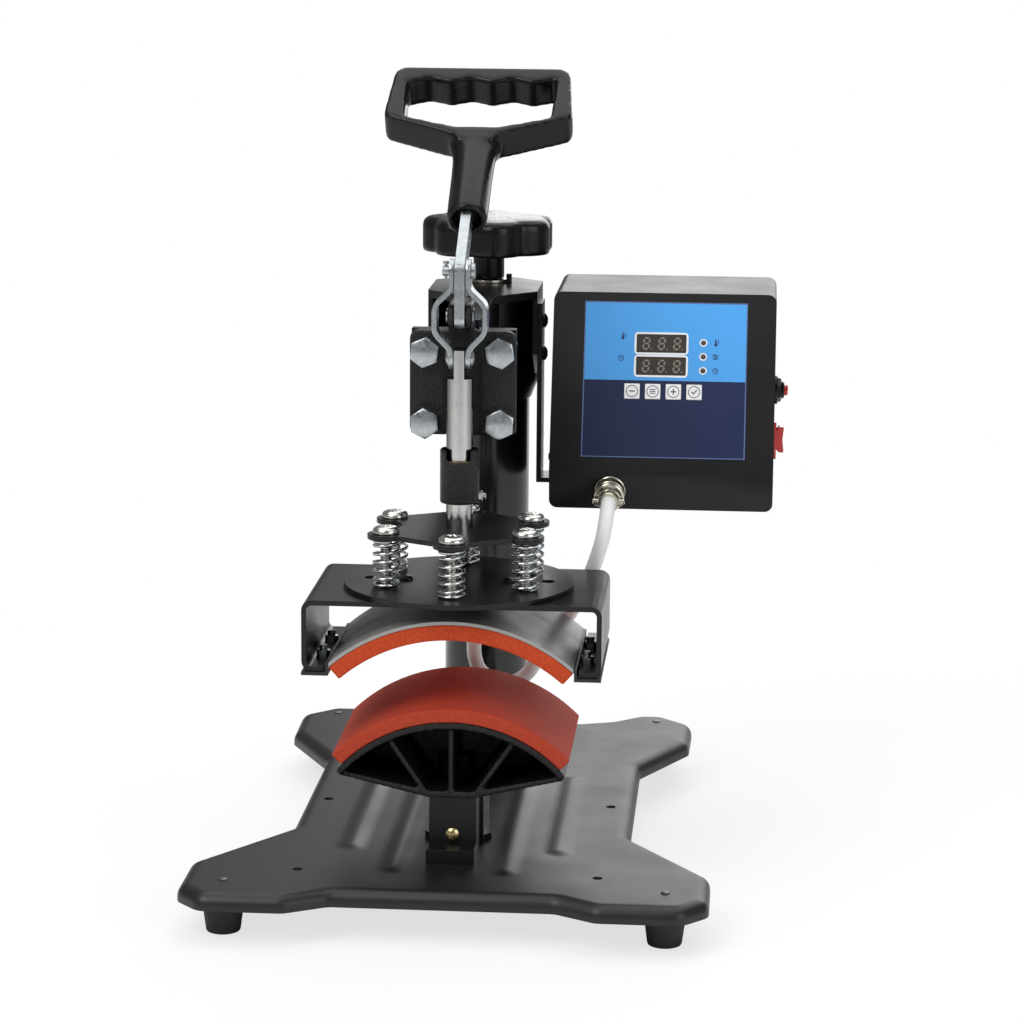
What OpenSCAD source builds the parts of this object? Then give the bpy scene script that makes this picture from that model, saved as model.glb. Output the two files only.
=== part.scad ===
// Cap heat press: swing-handle press with a curved heated platen, a curved fixed platen
// and a controller hung on the head. Millimetres, +Z up, front towards -Y.
// The origin is on the floor, under the middle of the foot pattern.

/* [Base] */
// Height of the base plate's top above the floor
base_h = 30.4; // [28:0.1:34]
// Thickness of the base plate's sheet
base_sheet = 3; // [2:0.5:4]
// Depth of the folded rim
rim_depth = 10; // [7:0.5:10]
// Distance from the origin to the front edge
base_front = 218; // [210:1:235]
// Distance from the origin to the rear edge
base_rear = 208; // [206:1:225]
// Half width over the front wings
front_half = 153; // [148:1:165]
// Half width of the waist
waist_half = 103; // [90:1:106]
// Half width over the rear wings
rear_half = 134.5; // [130:1:145]
// Width of a stamped stiffening rib
rib_w = 6; // [4:0.5:8]
// Height of a stamped stiffening rib
rib_h = 1.5; // [1:0.1:2]

/* [Feet] */
// Sideways distance of the front feet from the middle
foot_front_x = 127.7; // [122:0.1:132]
// Sideways distance of the rear feet from the middle
foot_rear_x = 110; // [104:0.1:116]
// Distance of both rows of feet from the origin
foot_y = 189.1; // [184:0.1:192]
// Top diameter of a rubber foot
foot_d = 25; // [20:0.5:30]
// Bottom diameter of a rubber foot
foot_tip_d = 20; // [14:0.5:20]
// Diameter of a foot screw
foot_screw_d = 5; // [4:0.5:6]

/* [Column] */
// Outer diameter of the column tube
column_d = 54; // [50:0.5:56]
// Wall of the column tube
column_wall = 2.5; // [2:0.25:4]
// Distance of the column axis behind the origin
column_y = 103; // [100:0.5:106]
// Height of the column's upper end
column_top = 320; // [312:1:322]

/* [Head] */
// Height of the head bracket's top face
head_top = 343; // [340:0.5:346]
// Thickness of the head's top plate
head_sheet = 5; // [4:0.5:6]
// Lower end of the sleeve that slides on the column
sleeve_bottom = 269; // [255:1:275]
// Wall of the sleeve
sleeve_wall = 6.1; // [4:0.1:8]
// Width of the arm that reaches forward
arm_w = 18.6; // [16:0.2:24]
// Lower edge of the arm
arm_bottom = 274; // [268:1:280]
// Width of the clamp casting
clamp_w = 63; // [58:0.5:66]
// Diameter of the clamp bolts' shanks
clamp_bolt_d = 10; // [8:0.5:10]
// Width across flats of the clamp bolt heads
clamp_bolt_flats = 16; // [14:0.5:17]
// Sideways distance of a clamp bolt from the middle
clamp_bolt_x = 22.3; // [21:0.1:22.5]
// Wall of the guide that holds the plunger
guide_wall = 2; // [1.5:0.1:3]
// Wall of the guide bush
bush_wall = 1.5; // [1:0.1:2]

/* [Pressure adjustment] */
// Largest radius of the star knob, over a lobe
knob_tip_r = 42.6; // [38:0.2:44]
// Smallest radius of the star knob, in a valley
knob_valley_r = 36; // [32:0.2:37]
// Number of lobes on the knob
knob_lobes = 7; // [5:1:9]
// Diameter of the lead screw
screw_d = 12; // [10:0.5:14]

/* [Toggle mechanism] */
// Distance of the plunger axis in front of the origin
mech_y = 96.3; // [94:0.1:100]
// Height of the fixed pivot pin
pivot_z = 348; // [346:0.5:350]
// Distance from the fixed pivot to the upper link pin
crank_r = 26.4; // [25:0.1:26.6]
// Distance between the link's two pins
link_len = 50.9; // [50:0.1:52]
// Thickness of a link strap
link_t = 3; // [2.5:0.1:3]
// Width of a link strap
link_w = 14; // [12:0.2:14.4]
// Thickness of the lever bar and of the plunger's tongue
bar_t = 6; // [5:0.1:6]
// Diameter of the pivot pins
pin_d = 6; // [5:0.5:7]
// Diameter of the plunger rod
rod_d = 16; // [14:0.2:17]
// Lean of the handle behind the vertical, in degrees
handle_lean = 57; // [54:0.5:60]
// Length from the upper link pin to the handle's far edge
handle_len = 183.5; // [176:0.5:190]
// Width of the D handle
handle_w = 115; // [105:1:125]
// Thickness of the D handle
handle_t = 21; // [19:0.5:24]

/* [Sprung platen] */
// Radius of the circle that the six spring screws stand on
spring_circle_r = 47.2; // [46:0.1:49]
// Outer diameter of a spring
spring_d = 16; // [14.5:0.1:16.4]
// Diameter of the spring wire
wire_d = 1.8; // [1.4:0.1:2]
// Number of full turns in a spring
spring_turns = 6; // [4:1:7]
// Diameter of a spring screw's shank
spring_screw_d = 9; // [7:0.2:9.4]
// Thickness of the spider plate
spider_t = 3; // [2:0.5:5]
// Height of the spider plate's underside
spider_z = 219.5; // [216:0.5:222]
// Radius of the round pressure disc
disc_r = 68.2; // [64:0.2:72]
// Height of the pressure disc's top face
disc_z = 190.3; // [189:0.1:191.5]
// Thickness of the disc and of the bracket under it
disc_t = 3; // [2:0.5:3.5]
// Half width of the U-shaped bracket
bracket_half = 87.4; // [86:0.2:92]

/* [Curved platens] */
// Outer radius of the lower pad
lower_pad_r = 98; // [96:0.1:98.1]
// Thickness of the lower pad
lower_pad_t = 8.3; // [6:0.1:9]
// Height of the lower pad's crest
lower_pad_z = 124.8; // [122:0.1:125.6]
// Thickness of the upper pad
upper_pad_t = 9.5; // [7:0.1:10]
// Height of the upper pad's inner crest
upper_pad_z = 165.6; // [164.6:0.1:166.6]
// Front face of both pads, in front of the origin
pad_front = 149; // [145:0.5:152]
// Rear face of both pads, in front of the origin
pad_rear = 45; // [42:0.5:48]
// Thickness of the lower platen's cast skin and ribs
casting_t = 4; // [3:0.5:5]
// Half width of the support post
post_half = 14; // [12:0.5:15]

/* [Controller] */
// Left side of the controller case
case_x = 46.5; // [45:0.5:50]
// Width of the controller case
case_w = 138.2; // [134:0.2:145]
// Lower face of the controller case
case_z = 215.4; // [212:0.2:217]
// Height of the crease in the case's front
crease_z = 239.5; // [236:0.5:242]
// Top of the controller case
case_top = 346; // [343:0.5:350]
// How far the top edge of the sloping front lies behind the crease
case_slope = 37; // [33:0.5:40]
// How far the lower front face tucks back under the crease
case_tuck = 4; // [2:0.5:8]
// Rear face of the controller case, behind the origin
case_rear = 125; // [118:0.5:130]
// Sheet thickness of the case
case_sheet = 1.5; // [1:0.1:2]
// Width of the front sticker
panel_w = 101; // [96:0.5:106]
// Height of the front sticker
panel_h = 98; // [97:0.5:100]
// Side of a square key
key_w = 9.6; // [8:0.1:11]
// Distance between neighbouring keys
key_pitch = 12.8; // [12.2:0.1:14]
// Travel of a key
key_travel = 0.8; // [0.5:0.1:1]
// Diameter of the heater cable
cable_d = 9; // [7:0.5:9.5]

/* [Hidden] */
$fn = 64;

// Clearances
run_fit = 0.06;
seat = 0.02;
hole_gap = 0.3;

// Common geometry
mirror_pair = [-1, 1];
axis_y = -mech_y;
link_top_z = pivot_z + crank_r;
link_low_z = link_top_z - link_len;
column_r = column_d / 2;
sleeve_r = column_r + run_fit + sleeve_wall;
bore_r = column_r + run_fit;
case_far = case_x + case_w;
tilt = atan(case_slope / (case_top - crease_z));
strap_x = column_r + run_fit + 7.5;
rod_r = rod_d / 2;
bush_r = rod_r + run_fit + bush_wall;
guide_r = bush_r + seat + guide_wall;
wire_r = wire_d / 2;
coil_r = spring_d / 2 - wire_r;
tongue_top = link_low_z + 5;
bar_half = link_w / 2 + 0.4;
link_gap = 0.3;
link_in = bar_t / 2 + link_gap;
link_bow = link_in + 10;
lower_axis_z = lower_pad_z - lower_pad_r;
saddle_r = lower_pad_r - lower_pad_t;
upper_in_r = lower_pad_r + 0.4;
upper_axis_z = upper_pad_z - upper_in_r;
upper_out_r = upper_in_r + upper_pad_t;
shell_t = 2;
upper_angle = 41.5;
lower_angle = 45.6;
saddle_angle = 49;
foot_z = upper_axis_z + upper_out_r * cos(upper_angle) - 3;
bracket_top = disc_z - disc_t;
hub_z = lower_pad_z - 54.8;
post_top = hub_z;
key_s = 50.5;
panel_s0 = 9;
panel_x = case_x + case_w / 2 + 0.9;
led_x = 140;
display_x = 114;
display_s = [80.8, 66.6];
led_s = [81.7, 72.9, 64.1];
display_w = 31;
display_h = 11.7;
panel_t = 0.4;
socket_x = case_x + 38;
face_tilt = atan(case_tuck / (crease_z - case_z));
side_y = 50;
breaker_z = crease_z + 45;
rocker_z = crease_z + 14;
cable_r = cable_d / 2;
cable_path = [
    [84.5, -21.3, 223.6], [84.5, -23.8, 223.1], [84.4, -27.7, 221.4], [84, -32.8, 217.1], [83.2, -36.2, 211.2],
    [81.9, -37.4, 204.2], [79.5, -36.3, 195.5], [75.4, -32.8, 183.5], [69.8, -28.2, 170], [62, -23.4, 155],
    [51.2, -20, 137], [42, -18.5, 124.4], [36.4, -18, 115.6], [29.7, -18, 110], [21.5, -18, 108.2],
    [12.6, -18, 110.4], [5.7, -18, 116.5], [2.6, -18, 125.4], [2.2, -18, 138], [2, -18, 151.5],
    [1.6, -19.2, 158.2], [1, -23.5, 164.8], [0.5, -30.2, 168.9], [0, -37, 170], [0, -45, 170]
];

// Basic shapes
module block(x0, x1, y0, y1, z0, z1) {
    translate([x0, y0, z0])
        cube([x1 - x0, y1 - y0, z1 - z0]);
}

module rod_x(r, x0, x1, y, z) {
    translate([x0, y, z])
        rotate([0, 90, 0])
            cylinder(r = r, h = x1 - x0);
}

module rod_y(r, y0, y1, x, z) {
    translate([x, y1, z])
        rotate([90, 0, 0])
            cylinder(r = r, h = y1 - y0);
}

module hex_head(flats, h) {
    cylinder(r = flats / 2 / cos(30), h = h, $fn = 6);
}

// Domed screw head with a cross recess
module pan_head(d, h) {
    difference() {
        intersection() {
            cylinder(d = d, h = h);
            translate([0, 0, h - d * 0.72])
                sphere(r = d * 0.72);
        }
        for (turn = [0, 90])
            translate([0, 0, h])
                rotate([0, 0, turn])
                    cube([d * 0.5, d * 0.09, h * 0.9], center = true);
    }
}

// Points of a closed outline whose corners are rounded by arcs
function unit(v) = v / norm(v);
function corner_arc(a, b, c, r, steps) =
    let (
        u = unit(a - b),
        v = unit(c - b),
        half = acos(max(-1, min(1, u * v))) / 2,
        cut = min(r / tan(half), 0.45 * min(norm(a - b), norm(c - b))),
        rr = cut * tan(half),
        mid = b + unit(u + v) * rr / sin(half),
        p = b + u * cut - mid,
        q = b + v * cut - mid,
        turn = atan2(p[0] * q[1] - p[1] * q[0], p * q)
    )
    [for (i = [0 : steps]) let (s = turn * i / steps)
        mid + [p[0] * cos(s) - p[1] * sin(s), p[0] * sin(s) + p[1] * cos(s)]];
function rounded(pts, r, steps = 5) =
    let (n = len(pts))
    [for (i = [0 : n - 1]) each corner_arc(pts[(i + n - 1) % n], pts[i], pts[(i + 1) % n], r, steps)];

// Outline moved inwards by d, for points that run counter-clockwise
function inset(pts, d) =
    let (n = len(pts))
    [for (i = [0 : n - 1])
        let (
            u = unit(pts[i] - pts[(i + n - 1) % n]),
            v = unit(pts[(i + 1) % n] - pts[i]),
            nu = [-u[1], u[0]],
            nv = [-v[1], v[0]]
        )
        pts[i] + (nu + nv) * d / (1 + nu * nv)];

// Mirror image of a half outline, joined to it
function both_halves(half) = concat(half, [for (i = [len(half) - 1 : -1 : 0]) [-half[i][0], half[i][1]]]);

// Tube swept along points, with a frame that is carried from ring to ring
function along(path, i) =
    unit(path[min(i + 1, len(path) - 1)] - path[max(i - 1, 0)]);
function square_to(v, t) = unit(v - t * (v * t));
function frames(path) =
    [for (i = 0, f = square_to([0.31, 0.87, 0.4], along(path, 0));
        i < len(path);
        i = i + 1, f = i < len(path) ? square_to(f, along(path, i)) : f) f];
module swept_tube(path, r, sides) {
    n = len(path);
    f = frames(path);
    points = [for (i = [0 : n - 1]) let (t = along(path, i), g = cross(t, f[i]))
        for (k = [0 : sides - 1]) let (a = 360 * k / sides)
            path[i] + r * (f[i] * cos(a) + g * sin(a))];
    walls = [for (i = [0 : n - 2], k = [0 : sides - 1])
        let (a = i * sides + k, b = i * sides + (k + 1) % sides)
            each [[a, a + sides, b], [b, a + sides, b + sides]]];
    caps = [for (k = [1 : sides - 2])
        each [[0, k, k + 1], [(n - 1) * sides, (n - 1) * sides + k + 1, (n - 1) * sides + k]]];
    polyhedron(points, concat(walls, caps), convexity = 10);
}

// Smooth curve through the route's points
function curve_point(p, i, t) =
    let (
        n = len(p),
        a = p[max(i - 1, 0)],
        b = p[i],
        c = p[min(i + 1, n - 1)],
        d = p[min(i + 2, n - 1)]
    )
    0.5 * (2 * b + (c - a) * t + (2 * a - 5 * b + 4 * c - d) * t * t + (3 * b - a - 3 * c + d) * t * t * t);
function smooth(p, steps) =
    concat([for (i = [0 : len(p) - 2], k = [0 : steps - 1]) curve_point(p, i, k / steps)], [p[len(p) - 1]]);

// Base
base_half = [
    [65, -base_front + 14.5], [89, -base_front], [front_half - 15, -base_front],
    [front_half, -base_front + 17], [front_half, -base_front + 64],
    [waist_half, -79], [waist_half, 79],
    [rear_half - 1, base_rear - 68], [rear_half, base_rear - 21], [rear_half - 20.5, base_rear],
    [98, base_rear], [79, base_rear - 17], [58, base_rear - 25]
];
base_outline = rounded(both_halves(base_half), 12);
foot_places = [
    [-foot_front_x, -foot_y], [foot_front_x, -foot_y], [-foot_rear_x, foot_y], [foot_rear_x, foot_y]
];
foot_h = base_h - base_sheet;
foot_taper_h = base_h - rim_depth - 1;

module rib(x, y0, y1) {
    ball = (rib_w * rib_w / 4 + rib_h * rib_h) / (2 * rib_h);
    intersection() {
        union() {
            rod_y(ball, y0, y1, x, base_h + rib_h - ball);
            for (y = [y0, y1])
                translate([x, y, base_h + rib_h - ball])
                    sphere(r = ball);
        }
        block(x - rib_w, x + rib_w, y0 - rib_w, y1 + rib_w, base_h - 0.5, base_h + 5);
    }
}

module base_plate() {
    color("#1c1c1e")
    difference() {
        union() {
            difference() {
                translate([0, 0, base_h - rim_depth])
                    linear_extrude(rim_depth)
                        polygon(base_outline);
                translate([0, 0, base_h - rim_depth - 1])
                    linear_extrude(rim_depth - base_sheet + 1)
                        polygon(inset(base_outline, base_sheet));
            }
            for (s = mirror_pair) {
                rib(s * 62, -117, 40);
                rib(s * 33, -159, 50);
            }
        }
        for (p = foot_places)
            translate([p[0], p[1], 0])
                cylinder(d = foot_screw_d + hole_gap, h = base_h + 1);
        for (s = mirror_pair) {
            translate([s * 87.7, -165.1, 0])
                cylinder(d = 6, h = base_h + 1);
            translate([s * 88.6, -19.3, 0])
                cylinder(d = 6, h = base_h + 1);
        }
    }
}

module feet() {
    color("#101010")
    for (p = foot_places)
        translate([p[0], p[1], 0])
            difference() {
                union() {
                    cylinder(d1 = foot_tip_d, d2 = foot_d, h = foot_taper_h);
                    cylinder(d = foot_tip_d - 4, h = foot_h);
                }
                translate([0, 0, 6])
                    cylinder(d = foot_screw_d, h = foot_h);
            }
}

module foot_screws() {
    color("#b9bcc0")
    for (p = foot_places)
        translate([p[0], p[1], 0]) {
            translate([0, 0, 8])
                cylinder(d = foot_screw_d, h = base_h - 8 + 0.5);
            translate([0, 0, base_h])
                pan_head(foot_screw_d * 2, 3);
        }
}

module column_tube() {
    color("#161618")
    translate([0, column_y, 0])
        difference() {
            union() {
                translate([0, 0, base_h])
                    cylinder(r = column_r, h = column_top - base_h);
                translate([0, 0, base_h])
                    cylinder(r1 = column_r + 4, r2 = column_r, h = 4);
            }
            translate([0, 0, base_h - 1])
                cylinder(r = column_r - column_wall, h = column_top - base_h + 2);
        }
}

module lead_nut() {
    color("#8d8f92")
    translate([0, column_y, column_top - 15])
        difference() {
            cylinder(r = column_r - column_wall - seat, h = 15);
            translate([0, 0, -1])
                cylinder(r = screw_d / 2 + run_fit, h = 17);
        }
}

// Post and fixed platen
post_front = mech_y + 34.7;
toe_front = mech_y + 51.7;

module support_post() {
    color("#19191b")
    difference() {
        union() {
            block(-post_half, post_half, -post_front, -mech_y - 8.7, base_h, post_top);
            block(-post_half - 2, post_half + 2, -mech_y - 8.7, -mech_y + 35.3, base_h, post_top);
            block(-post_half - 0.3, post_half + 0.3, -toe_front, -post_front, base_h, base_h + 8.6);
            translate([0, -mech_y + 4.8, base_h])
                linear_extrude(4)
                    polygon(rounded([[-post_half - 9, 0], [0, -24], [post_half + 9, 0], [0, 24]], 7));
        }
        block(-post_half + 3, post_half - 3, -post_front + 3, -mech_y + 32.3, base_h - 1, post_top - 5);
        rod_y(2.6, -post_front - 1, -post_front + 4, 0, base_h + 14);
        translate([0, axis_y, post_top - 6])
            cylinder(r = 4.2, h = 7);
    }
}

module post_screw() {
    color("#b79a52")
    translate([0, -post_front, base_h + 14])
        rotate([90, 0, 0]) {
            pan_head(8, 3.5);
            translate([0, 0, -7])
                cylinder(r = 2.4, h = 7.5);
        }
}

module arc_band(r_in, r_out, half_angle, axis_z, y0, y1) {
    translate([0, y1, axis_z])
        rotate([90, 0, 0])
            linear_extrude(y1 - y0)
                intersection() {
                    difference() {
                        circle(r = r_out, $fn = 128);
                        circle(r = r_in, $fn = 128);
                    }
                    polygon([
                        [0, 0],
                        [2 * r_out * sin(half_angle), 2 * r_out * cos(half_angle)],
                        [-2 * r_out * sin(half_angle), 2 * r_out * cos(half_angle)]
                    ]);
                }
}

// Fixed saddle: a cast skin on a middle web, a lower flange and spreading ribs
module lower_platen() {
    tip = [(saddle_r - 2) * sin(saddle_angle), lower_axis_z + (saddle_r - 2) * cos(saddle_angle)];
    hub_half = post_half - 1.2;
    rib_t = casting_t - 1;
    skin_z = lower_axis_z + saddle_r;
    color("#151517")
    difference() {
        union() {
            arc_band(saddle_r - casting_t, saddle_r, saddle_angle, lower_axis_z, -pad_front + 0.4, -pad_rear - 0.4);
            intersection() {
                union() {
                    block(-tip[0], tip[0], axis_y - 3, axis_y + 3, hub_z, skin_z);
                    for (s = mirror_pair)
                        translate([s * hub_half, 0, hub_z])
                            rotate([0, s * 34.5, 0])
                                block(-rib_t / 2, rib_t / 2, -pad_front + 4, -pad_rear - 4, 0, 60);
                    block(-rib_t / 2, rib_t / 2, -pad_front + 4, -pad_rear - 4, hub_z, skin_z);
                }
                rod_y(saddle_r - casting_t / 2, -pad_front, -pad_rear, 0, lower_axis_z);
                translate([0, -pad_rear, 0])
                    rotate([90, 0, 0])
                        linear_extrude(pad_front - pad_rear)
                            polygon([
                                [-hub_half, hub_z], [hub_half, hub_z], tip,
                                [tip[0], skin_z], [-tip[0], skin_z], [-tip[0], tip[1]]
                            ]);
            }
            translate([0, -pad_rear - 4, 0])
                rotate([90, 0, 0])
                    linear_extrude(pad_front - pad_rear - 8)
                        polygon([
                            [-hub_half, hub_z], [hub_half, hub_z], [tip[0], tip[1] - 2],
                            [tip[0], tip[1] + 1], [hub_half, hub_z + 4],
                            [-hub_half, hub_z + 4], [-tip[0], tip[1] + 1], [-tip[0], tip[1] - 2]
                        ]);
            translate([0, axis_y, hub_z])
                cylinder(r = 11, h = 16);
        }
        translate([0, axis_y, hub_z - 1])
            cylinder(r = 4, h = 15);
    }
}

module platen_bolt() {
    color("#a9adb1")
    translate([0, axis_y, post_top]) {
        translate([0, 0, -11])
            hex_head(13, 6);
        translate([0, 0, -6])
            cylinder(r = 3.98, h = 18);
    }
}

module lower_pad() {
    color("#a8372c")
    arc_band(saddle_r + seat, lower_pad_r, lower_angle, lower_axis_z, -pad_front, -pad_rear);
}

// Head
cheek_out = strap_x;
cheek_in = cheek_out - 3;
clamp_front = mech_y - 16.3;
clamp_t = 7;
flange_t = 8;
clamp_back = clamp_front - clamp_t;
arm_half = arm_w / 2;
clamp_z0 = arm_bottom + 0.5;
clamp_z1 = head_top - 6;
bolt_rows = [clamp_z0 + 7.4, clamp_z1 - 12.7];

module head_bracket() {
    color("#1a1a1c")
    difference() {
        union() {
            translate([0, 0, head_top - head_sheet])
                linear_extrude(head_sheet)
                    polygon([
                        [cheek_out, column_y - 45], [cheek_out, column_y + 7], [arm_half, column_y + 28],
                        [-arm_half, column_y + 28], [-cheek_out, column_y + 7], [-cheek_out, column_y - 45],
                        [-arm_half, column_y - 73], [arm_half, column_y - 73]
                    ]);
            translate([0, column_y, sleeve_bottom + 13])
                cylinder(r = sleeve_r, h = head_top - head_sheet - sleeve_bottom - 13);
            translate([0, column_y, sleeve_bottom])
                cylinder(r1 = bore_r + 1, r2 = sleeve_r, h = 13);
            block(-arm_half, arm_half, -clamp_back + 1, column_y - column_r - 2, arm_bottom, head_top - 0.5);
            block(-clamp_w / 2 + 0.5, clamp_w / 2 - 0.5, -clamp_back, -clamp_back + flange_t, clamp_z0, clamp_z1);
            for (s = mirror_pair)
                translate([s * (cheek_in + cheek_out) / 2 - 1.5, 0, 0])
                    rotate([90, 0, 90])
                        linear_extrude(3)
                            polygon([
                                [column_y - 45, head_top - 1], [column_y - 45, head_top - 40],
                                [column_y - 20, sleeve_bottom + 18], [column_y + 7, sleeve_bottom + 18],
                                [column_y + 7, head_top - 1]
                            ]);
        }
        translate([0, column_y, sleeve_bottom - 1])
            cylinder(r = bore_r, h = head_top - head_sheet - sleeve_bottom + 1);
        translate([0, column_y, head_top - head_sheet - 1])
            cylinder(r = screw_d / 2 + run_fit, h = head_sheet + 2);
        block(-arm_half + 3, arm_half - 3, -clamp_back + flange_t + 2, column_y - sleeve_r - 1,
            arm_bottom - 1, head_top - 8);
        for (s = mirror_pair, z = bolt_rows)
            rod_y(clamp_bolt_d / 2 + 0.1, -clamp_back - 1, -clamp_back + flange_t + 1, s * clamp_bolt_x, z);
        for (z = strap_screw_z)
            rod_x(2, cheek_in - 1, cheek_out + 1, strap_screw_y, z);
    }
}

// Clamp casting with the pivot ears above and the plunger guide below
ear_in = bar_t / 2 + 0.4;
ear_out = ear_in + 3.6;
ear_r = 7.5;
guide_z0 = arm_bottom - 36.6;
guide_z1 = arm_bottom - 4.3;
// The links dip into the guide's top, so the bush ends lower and the wall is slotted in front
link_dip_z = link_low_z - link_w / 2 - 2 * crank_r - 0.6;

module clamp_plate() {
    color("#17171a")
    difference() {
        union() {
            translate([0, -clamp_back, 0])
                rotate([90, 0, 0])
                    linear_extrude(clamp_t)
                        polygon(rounded([
                            [-clamp_w / 2, clamp_z0], [clamp_w / 2, clamp_z0],
                            [clamp_w / 2, clamp_z1], [-clamp_w / 2, clamp_z1]
                        ], 5));
            for (s = mirror_pair) {
                x0 = s > 0 ? ear_in : -ear_out;
                rod_x(ear_r, x0, x0 + ear_out - ear_in, axis_y, pivot_z);
                block(x0, x0 + ear_out - ear_in, axis_y, -clamp_back - 1, pivot_z - ear_r, pivot_z + ear_r);
                block(x0, x0 + ear_out - ear_in, -clamp_front - 1, -clamp_back - 1,
                    clamp_z1 - 12, pivot_z);
            }
            translate([0, axis_y, guide_z0])
                cylinder(r = guide_r, h = guide_z1 - guide_z0);
            block(-guide_r * 0.6, guide_r * 0.6, axis_y, -clamp_back, guide_z0 + 6, guide_z1);
            block(-guide_r * 0.6, guide_r * 0.6, -clamp_front + 2, -clamp_back, guide_z1 - 1, clamp_z0 + 1);
        }
        translate([0, axis_y, guide_z0 - 1])
            cylinder(r = bush_r + seat, h = guide_z1 - guide_z0 + 2);
        block(-link_in - link_t - 0.6, link_in + link_t + 0.6, axis_y - guide_r - 1, axis_y,
            link_dip_z, guide_z1 + 1);
        translate([guide_r - 0.4, axis_y, guide_z0 + 4])
            rotate([0, 90, 0])
                cylinder(r = 3.6, h = 3);
        translate([0, axis_y, clamp_z0 - 1])
            cylinder(r = mech_y - clamp_front + 3.6, h = clamp_z1 - clamp_z0 - 12);
        rod_x(pin_d / 2 + seat, -ear_out - 1, ear_out + 1, axis_y, pivot_z);
        for (s = mirror_pair, z = bolt_rows)
            rod_y(clamp_bolt_d / 2 + 0.1, -clamp_front - 1, -clamp_back + 1, s * clamp_bolt_x, z);
    }
}

module clamp_bolts() {
    color("#a6acb4")
    for (s = mirror_pair, z = bolt_rows)
        translate([s * clamp_bolt_x, -clamp_front, z]) {
            rotate([90, 0, 0])
                hex_head(clamp_bolt_flats, 6.4);
            rotate([-90, 0, 0])
                cylinder(d = clamp_bolt_d, h = clamp_t + flange_t + 8);
            translate([0, clamp_t + flange_t, 0])
                rotate([-90, 0, 0])
                    hex_head(clamp_bolt_flats, 6);
        }
}

module guide_bush() {
    color("#b08d4a")
    translate([0, axis_y, guide_z0])
        difference() {
            cylinder(r = bush_r, h = link_dip_z - guide_z0);
            translate([0, 0, -1])
                cylinder(r = rod_r + run_fit, h = guide_z1 - guide_z0 + 2);
        }
}

module pivot_pin() {
    color("#b4b8bd")
    union() {
        rod_x(pin_d / 2, -ear_out - 1, ear_out + 1, axis_y, pivot_z);
        for (s = mirror_pair)
            rod_x(4.4, s > 0 ? ear_out : -ear_out - 1.2, s > 0 ? ear_out + 1.2 : -ear_out, axis_y, pivot_z);
    }
}

module oil_nipple() {
    color("#a5a8ac")
    translate([guide_r - 0.4, axis_y, guide_z0 + 4])
        rotate([0, 90, 0]) {
            hex_head(6, 2.4);
            cylinder(r = 1.8, h = 4.4);
        }
}

module stop_stud() {
    color("#141414")
    translate([13.6, column_y - 6.5, head_top])
        cylinder(r = 1.8, h = 6);
}

// Controller carrier
strap_screw_y = column_y - 33;
strap_screw_z = [head_top - 20, head_top - 41];
strap_t = 3;
strap_y0 = column_y - 43;
strap_y1 = column_y - 18;
strap_foot_z = case_z + 5;

module controller_strap() {
    color("#161618")
    difference() {
        union() {
            block(cheek_out, cheek_out + strap_t, strap_y0, strap_y1, strap_foot_z, head_top - 8);
            block(cheek_out, case_x, strap_y0, strap_y1, strap_foot_z, strap_foot_z + strap_t);
            block(case_x - strap_t, case_x, strap_y0, strap_y1, strap_foot_z, strap_foot_z + 24);
        }
        for (z = strap_screw_z)
            rod_x(2, cheek_out - 1, cheek_out + strap_t + 1, strap_screw_y, z);
        rod_x(2, case_x - strap_t - 1, case_x + 1, strap_screw_y, strap_foot_z + 15);
    }
}

module strap_screws() {
    color("#1b1b1d")
    union() {
        for (z = strap_screw_z)
            translate([cheek_out + strap_t, strap_screw_y, z])
                rotate([0, 90, 0]) {
                    pan_head(9, 3.2);
                    translate([0, 0, -strap_t - 3])
                        cylinder(r = 1.95, h = strap_t + 3.2);
                }
        translate([case_x - strap_t, strap_screw_y, strap_foot_z + 15])
            rotate([0, -90, 0]) {
                pan_head(7, 2);
                translate([0, 0, -strap_t - case_sheet])
                    cylinder(r = 1.95, h = strap_t + case_sheet + 0.2);
            }
    }
}

// Side outline of the case, shrunk by a wall; a list of [y, z] points
function case_profile(w) = [
    [w, crease_z],
    [case_tuck + w, case_z + w],
    [case_rear, case_z + w],
    [case_rear, case_top - w],
    [case_slope + w * 0.7, case_top - w]
];

module case_solid(w, r) {
    intersection() {
        translate([case_x + w, 0, 0])
            rotate([90, 0, 90])
                linear_extrude(case_w - 2 * w)
                    polygon(case_profile(w));
        translate([0, case_rear + 1, 0])
            rotate([90, 0, 0])
                linear_extrude(case_rear + 2)
                    polygon(rounded([
                        [case_x + w, case_z + w], [case_far - w, case_z + w],
                        [case_far - w, case_top - w], [case_x + w, case_top - w]
                    ], r, 6));
    }
}

// Places children on the sloping panel: x across, z up the slope from the crease, -y outwards
module on_panel() {
    translate([0, 0, crease_z])
        rotate([-tilt, 0, 0])
            children();
}

// Places children on the lower face, with +z pointing out of the case
module on_lower_face() {
    translate([socket_x, case_tuck / 2, (crease_z + case_z) / 2])
        rotate([90 + face_tilt, 0, 0])
            children();
}

module panel_block(x, s, w, h, y0, y1) {
    block(x - w / 2, x + w / 2, y0, y1, s - h / 2, s + h / 2);
}

key_x = [for (i = [0 : 3]) 96.5 + key_pitch * i];
breaker_r = 9;
rocker_w = 13;
rocker_l = 20;

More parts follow.
